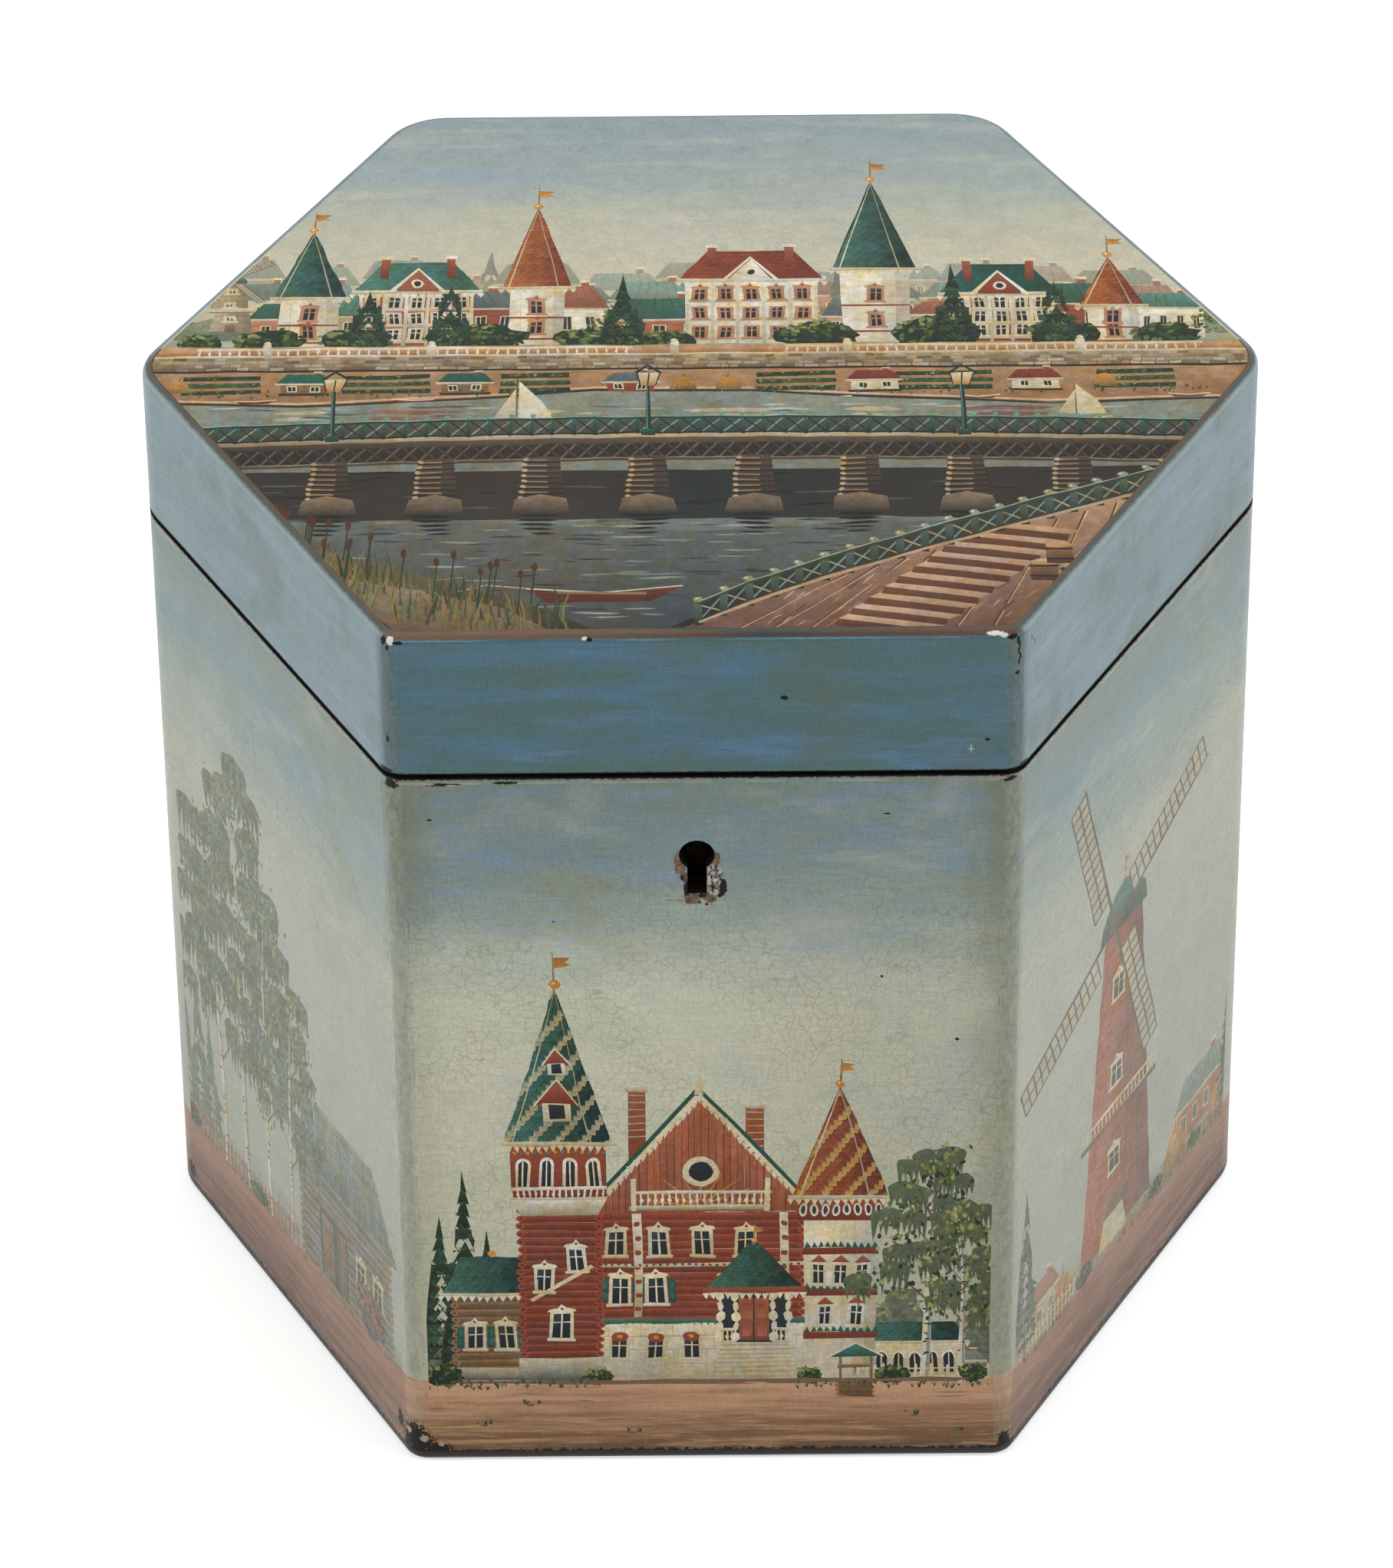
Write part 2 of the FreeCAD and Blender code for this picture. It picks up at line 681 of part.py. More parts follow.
def detent_spring():
    """A bent leaf: a leg on the case's side, a reach to the bolt and a V in its notch."""
    body = new_body("detent_spring")
    wall = "(case_sheet + bolt_clearance - case_width / 2)"
    apex = f"({BOLT_FOOT} - detent_notch + detent_clearance)"
    high = f"({BOLT_FOOT} + detent_drop)"
    low = f"({high} + spring_thickness)"
    left, right = f"({NEAR_NOTCH} - detent_base)", f"({NEAR_NOTCH} + detent_base)"
    far = f"({right} + spring_foot)"
    under = f"({apex} + 2 * spring_thickness)"
    inner = "(spring_thickness / 2)"
    upper = [(wall, f"({high} + spring_leg)"), (wall, high), (left, high),
             (NEAR_NOTCH, apex), (right, high), (far, high)]
    lower = [(far, low), (f"({right} - {inner})", low), (NEAR_NOTCH, under),
             (f"({left} + {inner})", low), (f"({wall} + spring_thickness)", low),
             (f"({wall} + spring_thickness)", f"({high} + spring_leg)")]
    plane = lock_plane("(bolt_setback + bolt_thickness / 2 - spring_width / 2)")
    profile = front_sketch(body, "spring_outline", plane)
    outline(profile, [(lock_x(across), lock_z(down)) for across, down in upper + lower])
    pad(body, "leaf", profile, "spring_width", back=True)


def lock_screws():
    screw_group("lock_screws", lock_screw_circles, False, False)


def leaf(label, rim, side):
    """One leaf of the hinge: a plate in its wall with every second knuckle of the barrel."""
    body = new_body(label)
    sign = "-" if side < 0 else ""
    plate = side_sketch(body, "plate_outline")
    near, far = f"({HINGE_Y} - leaf_thickness / 2)", f"({HINGE_Y} + leaf_thickness / 2)"
    ends = [f"({rim} + {sign}leaf_depth)", HINGE_Z]
    low, high = ends if side < 0 else ends[::-1]
    rectangle(plate, near, far, low, high)
    pad(body, "plate", plate, "hinge_length", both=True)
    barrel = circle(side_sketch(body, "barrel_outline"), HINGE_Y, HINGE_Z, BARREL_RADIUS)
    pad(body, "barrel", barrel, "hinge_length", both=True)
    bore = side_sketch(body, "bore_outline")
    circle(bore, HINGE_Y, HINGE_Z, "(pin_radius + pin_clearance)")
    pocket(body, "bore", bore, "(hinge_length + overrun)", both=True)
    gaps = front_sketch(body, "knuckle_gap_outline", "0")
    reach = f"({BARREL_RADIUS} + barrel_clearance)"
    others = range(1, KNUCKLES, 2) if side < 0 else range(0, KNUCKLES, 2)
    for index in others:
        start, stop = knuckle_edges(index)
        left, right = f"({start} - knuckle_gap / 2)", f"({stop} + knuckle_gap / 2)"
        rectangle(gaps, left, right, f"({HINGE_Z} - {reach})", f"({HINGE_Z} + {reach})")
    pocket(body, "knuckle_gaps", gaps, "(2 * overall_depth)", both=True)
    height = BODY_NAIL_Z if side < 0 else LID_NAIL_Z
    holes = nail_squares(body, "0", height, "nail_clearance")
    pocket(body, "nail_holes_cut", holes, "(2 * overall_depth)", both=True)


def hinge_nails(label, height, face):
    """Four cross pins through the wall and the leaf, driven from the inside."""
    body = new_body(label)
    sketch = nail_squares(body, f"(0 - {face})", height, "0")
    pad(body, "nails", sketch, f"(overall_depth / 2 - nail_cover - {face})", back=True)


def hinge_pin():
    body = new_body("hinge_pin")
    ring = circle(side_sketch(body, "wire_outline"), HINGE_Y, HINGE_Z, "pin_radius")
    pad(body, "wire", ring, "hinge_length", both=True)


def lid_wall():
    body = new_body("lid_wall")
    blank = hexagon(level_sketch(body, "outer_outline", LID_RIM), "0")
    pad(body, "blank", blank, f"({TOP_SEAT} - {LID_RIM})")
    round_corners(body, LID_RIM, TOP_SEAT)
    inner = hexagon(level_sketch(body, "inner_outline", TOP_SEAT), LID_WALL)
    hollow(body, "hollow", inner, "overall_height", "inner_corner_radius")
    hinge_seat(body, LID_RIM, 1)
    length = f"({LID_WALL} - nail_cover + overrun)"
    nail_seats(body, LID_NAIL_Z, length, f"(overrun - {LID_FACE})")


def lid_top():
    body = new_body("lid_top")
    board = hexagon(level_sketch(body, "board_outline", TOP_SEAT), "0")
    pad(body, "board", board, "top_board")
    round_corners(body, TOP_SEAT, "overall_height")
    fillet(body, "top_edge", level_at("overall_height"), "top_edge_radius")
    inset = f"({LID_WALL} + glue_line)"
    plug = hexagon(level_sketch(body, "plug_outline", TOP_SEAT), inset)
    pad(body, "plug", plug, "top_plug", back=True)
    seat = upright(f"({TOP_SEAT} - top_plug)", TOP_SEAT)
    fillet(body, "plug_corners", seat, "inner_corner_radius")


def strike_block():
    body = new_body("strike_block")
    half = "(strike_block_width / 2)"
    blank = front_sketch(body, "block_outline", f"({LID_FACE} - glue_line)")
    top = f"({LID_RIM} + strike_block_height)"
    rectangle(blank, lock_x(f"-{half}"), lock_x(half), LID_RIM, top)
    pad(body, "block", blank, "strike_block_thickness", back=True)
    recess = strike_outline(level_sketch(body, "recess_outline", LID_RIM), "block_clearance")
    pocket(body, "recess", recess, "strike_thickness", back=True)
    holes = strike_screw_circles(body, "screw_holes", "(screw_radius + block_clearance)")
    pocket(body, "screw_holes_cut", holes, "(screw_length + block_clearance)", back=True)


def strike_outline(sketch, slack):
    half = f"(strike_width / 2 + {slack})"
    deep = f"(strike_depth / 2 + {slack})"
    return rectangle(sketch, lock_x(f"-{half}"), lock_x(half),
                     f"({STRIKE_MIDDLE} - {deep})", f"({STRIKE_MIDDLE} + {deep})")


def strike_plate():
    body = new_body("strike_plate")
    plate = strike_outline(level_sketch(body, "plate_outline", LID_RIM), "0")
    pad(body, "plate", plate, "strike_thickness")
    links = level_sketch(body, "link_outline", LID_RIM)
    half = "(link_thickness / 2)"
    for side in ("-", ""):
        middle = f"{side}link_spacing / 2"
        rectangle(links, lock_x(f"{middle} - {half}"), lock_x(f"{middle} + {half}"),
                  f"({STRIKE_MIDDLE} - link_width / 2)", f"({STRIKE_MIDDLE} + link_width / 2)")
    pad(body, "links", links, f"(rim_gap + {LINK_LOW})", back=True)
    eyes = side_sketch(body, "eye_outline")
    reach = "(link_width / 2 - link_leg)"
    rectangle(eyes, f"({STRIKE_MIDDLE} - {reach})", f"({STRIKE_MIDDLE} + {reach})",
              lock_z(EYE_LOW), lock_z(EYE_HIGH))
    pocket(body, "eyes", eyes, "middle_width", both=True)
    countersinks(body, strike_screw_circles, "(strike_thickness + overrun)", True)


def strike_screws():
    screw_group("strike_screws", strike_screw_circles, False, False)


body_wall()
base_board()
inner_lining()
lock_block()
lock_backplate()
lock_case()
lock_stumps()
key_pin()
detent_spring()
lock_screws()
leaf("hinge_leaf_body", RIM, -1)
hinge_pin()
hinge_nails("hinge_nails_body", BODY_NAIL_Z, WALL_FACE)
lock_bolt()
lid_wall()
lid_top()
leaf("hinge_leaf_lid", LID_RIM, 1)
hinge_nails("hinge_nails_lid", LID_NAIL_Z, LID_FACE)
strike_block()
strike_plate()
strike_screws()
doc.recompute()

for thing in doc.Objects:
    if {"Invalid", "Error"} & set(thing.State):
        raise RuntimeError(f"{thing.Label} is {thing.State}")

os.makedirs("parts", exist_ok=True)
for subpart in subparts:
    shape = subpart.Shape
    if shape.isNull() or not shape.isValid():
        raise RuntimeError(f"{subpart.Label} has a bad shape")
    shape.exportStep(f"parts/{subpart.Label}.step")
    box = shape.BoundBox
    print(f"{subpart.Label}: {len(shape.Solids)} solids, {shape.Volume:.1f} mm3, "
          f"x {box.XMin:.2f} {box.XMax:.2f} y {box.YMin:.2f} {box.YMax:.2f} "
          f"z {box.ZMin:.2f} {box.ZMax:.2f}")
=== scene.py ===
import math
import random

import bpy
import numpy as np
from mathutils import Matrix, Vector
from mathutils.bvhtree import BVHTree
from mathutils.geometry import delaunay_2d_cdt
from mathutils.kdtree import KDTree


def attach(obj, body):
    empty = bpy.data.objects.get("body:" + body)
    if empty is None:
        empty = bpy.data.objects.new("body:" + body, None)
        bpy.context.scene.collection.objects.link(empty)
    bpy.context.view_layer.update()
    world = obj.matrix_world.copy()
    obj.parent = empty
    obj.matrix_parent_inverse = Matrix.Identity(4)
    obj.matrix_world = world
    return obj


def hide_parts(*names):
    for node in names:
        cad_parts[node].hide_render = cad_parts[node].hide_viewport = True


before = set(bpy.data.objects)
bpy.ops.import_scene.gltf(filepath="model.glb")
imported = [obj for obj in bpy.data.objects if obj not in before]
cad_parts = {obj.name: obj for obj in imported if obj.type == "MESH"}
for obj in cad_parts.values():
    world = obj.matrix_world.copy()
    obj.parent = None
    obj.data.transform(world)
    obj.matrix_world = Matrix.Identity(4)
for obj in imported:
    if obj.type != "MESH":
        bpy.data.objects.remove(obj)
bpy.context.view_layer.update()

bpy.ops.object.select_all(action="DESELECT")

MM = 0.001
# The box in plan, in millimetres: its six corners, counter-clockwise from the front left
FRONT_WIDTH, MIDDLE_WIDTH, DEPTH = 70.0, 131.0, 112.0
CORNERS = [
    (-FRONT_WIDTH / 2, -DEPTH / 2), (FRONT_WIDTH / 2, -DEPTH / 2), (MIDDLE_WIDTH / 2, 0.0),
    (FRONT_WIDTH / 2, DEPTH / 2), (-FRONT_WIDTH / 2, DEPTH / 2), (-MIDDLE_WIDTH / 2, 0.0),
]
SIDES = ["front", "front_right", "back_right", "back", "back_left", "front_left"]
CORNER_RADII = [3.0, 3.0, 8.0, 8.0, 8.0, 8.0]
EDGE_RADIUS = 1.0
# How far the box turns at a front or back corner; at a middle corner it turns twice what is left to a right angle
TURN = math.atan2(DEPTH, MIDDLE_WIDTH - FRONT_WIDTH)
BODY_LOW, RIM, LID_RIM, TOP_SEAT, LID_TOP = 1.4, 98.8, 99.4, 115.0, 118.0
GROUND = 12.4
# How far inside a flat side its picture stops, and how far behind a side a face still counts as outside
MARGIN, SIDE_REACH = 0.35, 2.0


class Tone(tuple):
    """Linear red, green and blue. Times a number it is lighter or darker."""

    def __mul__(self, amount):
        return Tone(min(part * amount, 1.0) for part in self)


def srgb(code):
    """The tone of a colour written as on a paint chart."""
    parts = [int(code[i:i + 2], 16) / 255 for i in (1, 3, 5)]
    return Tone(p / 12.92 if p <= 0.04045 else ((p + 0.055) / 1.055) ** 2.4 for p in parts)


def colour_of(value):
    return srgb(value) if isinstance(value, str) else value


# How the materials are mixed
class Reading:
    """What comes out of a node, so that two readings can be added and multiplied with plain signs."""

    def __init__(self, mixer, socket):
        self.mixer, self.socket = mixer, socket

    def __add__(self, other):
        return self.mixer.sum("ADD", self, other)

    def __sub__(self, other):
        return self.mixer.sum("SUBTRACT", self, other)

    def __rsub__(self, other):
        return self.mixer.sum("SUBTRACT", other, self)

    def __mul__(self, other):
        return self.mixer.sum("MULTIPLY", self, other)

    def __truediv__(self, other):
        return self.mixer.sum("DIVIDE", self, other)


class Mixer:
    """The nodes of a material or of the world, added one after another."""

    def __init__(self, owner):
        owner.use_nodes = True
        self.owner = owner
        self.tree = owner.node_tree
        self.tree.nodes.clear()

    def put(self, socket, value):
        if isinstance(value, Reading):
            self.tree.links.new(value.socket, socket)
        elif isinstance(value, bpy.types.NodeSocket):
            self.tree.links.new(value, socket)
        elif socket.type == "RGBA":
            socket.default_value = (*colour_of(value), 1)
        else:
            socket.default_value = value

    def node(self, kind, values=(), **settings):
        """A node of one kind, with its settings and its first inputs."""
        node = self.tree.nodes.new("ShaderNode" + kind)
        for name, setting in settings.items():
            setattr(node, name, setting)
        for socket, value in zip(node.inputs, values):
            self.put(socket, value)
        return node

    def sum(self, operation, a, b=0, c=0):
        return Reading(self, self.node("Math", (a, b, c), operation=operation).outputs[0])

    def vector(self, operation, a, b=(0, 0, 0)):
        node = self.node("VectorMath", (a, b), operation=operation)
        return Reading(self, node.outputs["Value" if operation == "DISTANCE" else "Vector"])

    def split(self, vector):
        return [Reading(self, socket) for socket in self.node("SeparateXYZ", [vector]).outputs]

    def join(self, x, y, z):
        return self.node("CombineXYZ", (x, y, z)).outputs[0]

    def stretch(self, x, y, z):
        """Places on the piece in millimetres, times x, y and z."""
        place = self.node("TexCoord").outputs["Object"]
        return self.vector("MULTIPLY", place, (1000 * x, 1000 * y, 1000 * z))

    def noise(self, where, size=1, detail=3, rough=0.5, distort=0, colour=False):
        """Cloudy noise whose lumps are about size millimetres across, stretched as where says."""
        node = self.node("TexNoise")
        for name, value in (("Vector", self.stretch(*where)), ("Scale", 1 / size), ("Detail", detail),
                            ("Roughness", rough), ("Distortion", distort)):
            self.put(node.inputs[name], value)
        return Reading(self, node.outputs["Color" if colour else "Fac"])

    def cloud(self, size, *more, **named):
        """Noise that is the same in every direction."""
        return self.noise((1, 1, 1), size, *more, **named)

    def cells(self, where, size, feature="F1"):
        node = self.node("TexVoronoi", feature=feature)
        self.put(node.inputs["Vector"], where)
        self.put(node.inputs["Scale"], 1 / size)
        self.put(node.inputs["Randomness"], 1)
        return node.outputs

    def ramp(self, value, low, high, a=0, b=1):
        """Goes smoothly from a to b as value goes from low to high."""
        node = self.node("MapRange", (value, low, high, a, b), interpolation_type="SMOOTHSTEP")
        return Reading(self, node.outputs[0])

    def swayed(self, value, noise, width):
        """The value, swayed by noise over the width."""
        return self.sum("MULTIPLY_ADD", noise - 0.5, width, value)

    def stripe(self, value, middle, outer, inner):
        """One stripe where value is near middle: nothing beyond outer, all of it within inner."""
        return self.ramp(self.sum("ABSOLUTE", value - middle), outer, inner)

    def scale(self, value, stops):
        """Colours along a scale, given as (place, colour)."""
        node = self.node("ValToRGB", [value])
        points = node.color_ramp.elements
        while len(points) < len(stops):
            points.new(0.5)
        for point, (place, colour) in zip(points, sorted(stops)):
            point.position = place
            point.color = (*colour_of(colour), 1)
        return node.outputs[0]

    def mix(self, share, a, b, way="MIX"):
        node = self.node("Mix", data_type="RGBA", blend_type=way, clamp_factor=True)
        for number, value in ((0, share), (6, a), (7, b)):
            self.put(node.inputs[number], value)
        return node.outputs[2]

    def lit(self, colour, light):
        """The colour, lighter or darker."""
        return self.mix(1, colour, self.join(light, light, light), "MULTIPLY")

    def attribute(self, name):
        return self.node("Attribute", attribute_name=name).outputs

    def seen(self):
        """1 where the eye meets the thing straight, in gloss or through glass."""
        path = self.node("LightPath").outputs
        near = self.sum("MAXIMUM", path["Is Camera Ray"], path["Is Glossy Ray"])
        return self.sum("MAXIMUM", near, path["Is Transmission Ray"])

    def bump(self, height, depth, strength=1, under=None):
        """Relief of the given depth in millimetres."""
        node = self.node("Bump")
        for name, value in (("Height", height), ("Distance", depth * MM), ("Strength", strength), ("Normal", under)):
            if value is not None:
                self.put(node.inputs[name], value)
        return node.outputs[0]

    def finish(self, colour, rough, normal=None, metal=0, coat=0, coat_rough=0.2, shine=0.5, glow=None):
        skin = self.node("BsdfPrincipled")
        self.node("OutputMaterial", [skin.outputs[0]])
        for name, value in (("Base Color", colour), ("Roughness", rough), ("Metallic", metal), ("Coat Weight", coat),
                            ("Coat Roughness", coat_rough), ("Specular IOR Level", shine), ("Normal", normal),
                            ("Emission Strength", glow)):
            if value is not None:
                self.put(skin.inputs[name], value)
        return self.owner


def new_material(name):
    return Mixer(bpy.data.materials.new(name))


def corner_nearness(m):
    """How far, in millimetres, a place is from the nearest upright edge of the box."""
    x, y, _ = m.split(m.stretch(1, 1, 1))
    fold = m.join(m.sum("ABSOLUTE", x), m.sum("ABSOLUTE", y), 0)
    # the softer corners at the middle and the back lie about a millimetre inside their sharp ones
    return m.sum(
        "MINIMUM",
        m.vector("DISTANCE", fold, (FRONT_WIDTH / 2, DEPTH / 2, 0)) - m.ramp(y, -1, 1, 0, 0.8),
        m.vector("DISTANCE", fold, (MIDDLE_WIDTH / 2, 0, 0)) - 0.65,
    )


def outer_y(x):
    """Where the outside of the box lies at x, seen from the front, round its softened corners."""
    x, radius = abs(x), CORNER_RADII[0]
    start = FRONT_WIDTH / 2 - radius * math.tan(TURN / 2)
    if x < start:
        return -DEPTH / 2
    if x < start + radius * math.sin(TURN):
        return radius - DEPTH / 2 - math.sqrt(radius ** 2 - (x - start) ** 2)
    return (x - MIDDLE_WIDTH / 2) * math.tan(TURN)


def chipped(m, spots, ragged=3):
    """One mask for small chips, each at (x, z, half width, half height) in millimetres, with ragged outlines."""
    torn = m.cloud(0.5, 5, 0.75) - 0.5
    found = 0
    for x, z, wide, *tall in spots:
        tall = tall[0] if tall else wide
        flat = m.vector("MULTIPLY", m.stretch(1, 1, 1), (1, 1, wide / tall))
        near = m.vector("DISTANCE", flat, (x, outer_y(x), z * wide / tall))
        near = m.sum("MULTIPLY_ADD", torn, -ragged * wide, near)
        found = m.sum("MAXIMUM", found, m.ramp(near, wide * 1.08, wide * 0.9))
    return found


def varnish(m, colour, rough=0.4, relief=1):
    """Old satin varnish over paint on board: fine brush marks, canvas grain and uneven relief."""
    weave = m.cloud(0.28, 2, 0.6)
    brush = m.noise((0.35, 0.35, 2.2), 0.7, 3, 0.55)
    uneven = m.cloud(16, 2, 0.5)
    normal = m.bump(uneven, 0.5 * relief, 0.25)
    normal = m.bump(brush, 0.05 * relief, 0.35, normal)
    normal = m.bump(weave, 0.04 * relief, 0.35, normal)
    patchy = m.ramp(m.cloud(5, 4, 0.6), 0.3, 0.7, rough - 0.05, rough + 0.07)
    return m.finish(colour, patchy, normal, coat=0.05, coat_rough=0.25, shine=0.13)


def crackle(m, colour, strength=0.42):
    """Fine age cracks in the ground of the paint."""
    wander = m.node("VectorMath", [m.cloud(2, 2, 0.5, colour=True)], operation="SCALE")
    m.put(wander.inputs["Scale"], 1.2)
    bent = m.vector("ADD", m.stretch(1, 1, 1), wander.outputs[0])
    edge = m.cells(bent, 1.35, "DISTANCE_TO_EDGE")[0]
    line = m.ramp(edge, 0.06, 0)
    where = m.ramp(m.cloud(14, 3, 0.5), 0.36, 0.56, 0.25, 1)
    return m.mix(line * where * strength, colour, "#5d5748")


def canvas_grain(m, colour):
    """Crossed brush hairs and the grain of the ground showing through thin paint."""
    level = m.noise((0.22, 0.22, 3), 0.55, 3, 0.7)
    stand = m.noise((3, 3, 0.25), 0.6, 3, 0.7)
    speck = m.cloud(0.22, 2, 0.6)
    grain = level + stand + speck
    grain = m.ramp(grain, 1.05, 1.95, 0.87, 1.13)
    return m.lit(colour, grain)


def painted(m, ground):
    """The painted picture over its ground, from the colours laid on the mesh."""
    paint = m.attribute("paint")
    leaf, across, upright = m.split(m.attribute("touch")["Color"])
    blot = m.cells(m.stretch(1, 1, 1), 0.55)
    leafy = m.ramp(m.split(blot["Color"])[0], 0, 1, 0.62, 1.42)
    wave = m.ramp(m.noise((0.3, 0.3, 3.2), 0.8, 3, 0.6), 0.25, 0.75, 0.8, 1.2)
    plank = m.ramp(m.noise((2.6, 2.6, 0.25), 0.7, 3, 0.6), 0.25, 0.75, 0.78, 1.22)
    hand = m.ramp(m.cloud(0.8, 4, 0.7), 0.25, 0.75, 0.82, 1.18)
    broad = m.ramp(m.cloud(4.5, 3, 0.6), 0.3, 0.7, 0.88, 1.1)
    light = hand * broad
    for amount, pattern in ((leaf, leafy), (across, wave), (upright, plank)):
        light = light * m.sum("MULTIPLY_ADD", pattern - 1, amount, 1)
    picture = m.lit(paint["Color"], light)
    warm = m.ramp(m.cloud(3, 3, 0.6), 0.35, 0.65)
    picture = m.mix(warm, picture, m.mix(1, picture, "#fff0cf", "MULTIPLY"))
    return canvas_grain(m, m.mix(paint["Alpha"], ground, picture))


def painted_scene():
    """Sky, ground and picture on the six sides of the body."""
    m = new_material("painted_scene")
    x, y, z = m.split(m.stretch(1, 1, 1))
    drift = m.noise((0.25, 0.25, 1), 5, 4, 0.6)
    level = m.swayed(z, drift, 16)
    sky = m.scale(level / 100, [
        (0.10, "#aeac97"), (0.30, "#b0b09a"), (0.50, "#b8b8a2"),
        (0.68, "#b8b9a6"), (0.80, "#98a59b"), (0.89, "#839698"), (1, "#7d8c84"),
    ])
    fore = m.ramp(y, -54, -55.6)
    cloud = m.noise((0.8, 0.8, 1), 13, 5, 0.62)
    olive = m.ramp(cloud, 0.5, 0.66, 0, 0.5) * m.ramp(z, 60, 84, 0.35, 1)
    sky = m.mix(olive, sky, "#8c9278")
    sky = m.mix(m.ramp(cloud, 0.48, 0.34, 0, 0.45) * fore, sky, "#a3aaa6")
    rosy = m.ramp(m.cloud(19, 3, 0.5), 0.52, 0.68, 0, 0.3)
    sky = m.mix(rosy * m.ramp(z, 80, 68), sky, "#c2b79c")
    blue = m.noise((0.3, 0.3, 1.3), 3.2, 5, 0.68)
    blue = m.ramp(blue, 0.5, 0.7) * m.ramp(z, 66, 86)
    sky = m.mix(blue * m.ramp(fore, 0, 1, 0.18, 0.5), sky, "#7f9cc4")
    pale = m.ramp(m.noise((0.3, 0.3, 1.1), 5, 4, 0.6), 0.52, 0.75, 0, 0.3)
    sky = m.mix(pale, sky, "#c4c3b0")
    # the sky darkens to olive along its upright borders on the front
    inward = m.swayed(FRONT_WIDTH / 2 - m.sum("ABSOLUTE", x), m.noise((1, 1, 0.4), 3, 4, 0.65), 6)
    border = m.ramp(inward, 6.5, 1.5) * m.ramp(z, 74, 88, m.ramp(x, -20, 20, 0.28, 0.5), 0.62) * fore
    sky = m.mix(border, sky, "#7f8268")
    sky = crackle(m, sky, m.ramp(z, 92, 76, 0.08, 0.3))
    streak = m.noise((0.12, 0.12, 2), 1.9, 5, 0.65)
    soil = m.scale(z / GROUND, [
        (0.1, "#6b4f38"), (0.45, "#8f6c50"), (0.8, "#bf9475"), (1, "#cfa485"),
    ])
    soil = m.mix(m.ramp(streak, 0.45, 0.66, 0, 0.6), soil, "#d0a77f")
    soil = m.mix(m.ramp(streak, 0.5, 0.32, 0, 0.45), soil, "#7a5b43")
    lip = m.swayed(z, m.noise((0.5, 0.5, 1), 3), 0.9)
    soil = m.mix(m.ramp(fore, 0, 1, 0.55, 0), soil, "#6b5c5c")
    # away from the front the lower sky is painted paler grey: a painted sheen
    sky = m.mix((1 - fore) * m.ramp(z, 80, 60, 0.1, 0.45), sky, "#a2a8a6")
    lift = m.sum("MULTIPLY_ADD", fore, m.ramp(z, 84, 72, 0, m.ramp(x, -12, 28, 0.34, 0.12)), 1)
    sky = m.lit(sky, lift)
    ground = m.mix(m.ramp(lip, GROUND - 0.25, GROUND + 0.2), soil, sky)
    colour = painted(m, ground)
    colour = worn_and_highlit_edges(m, colour, z)
    return varnish(m, colour)


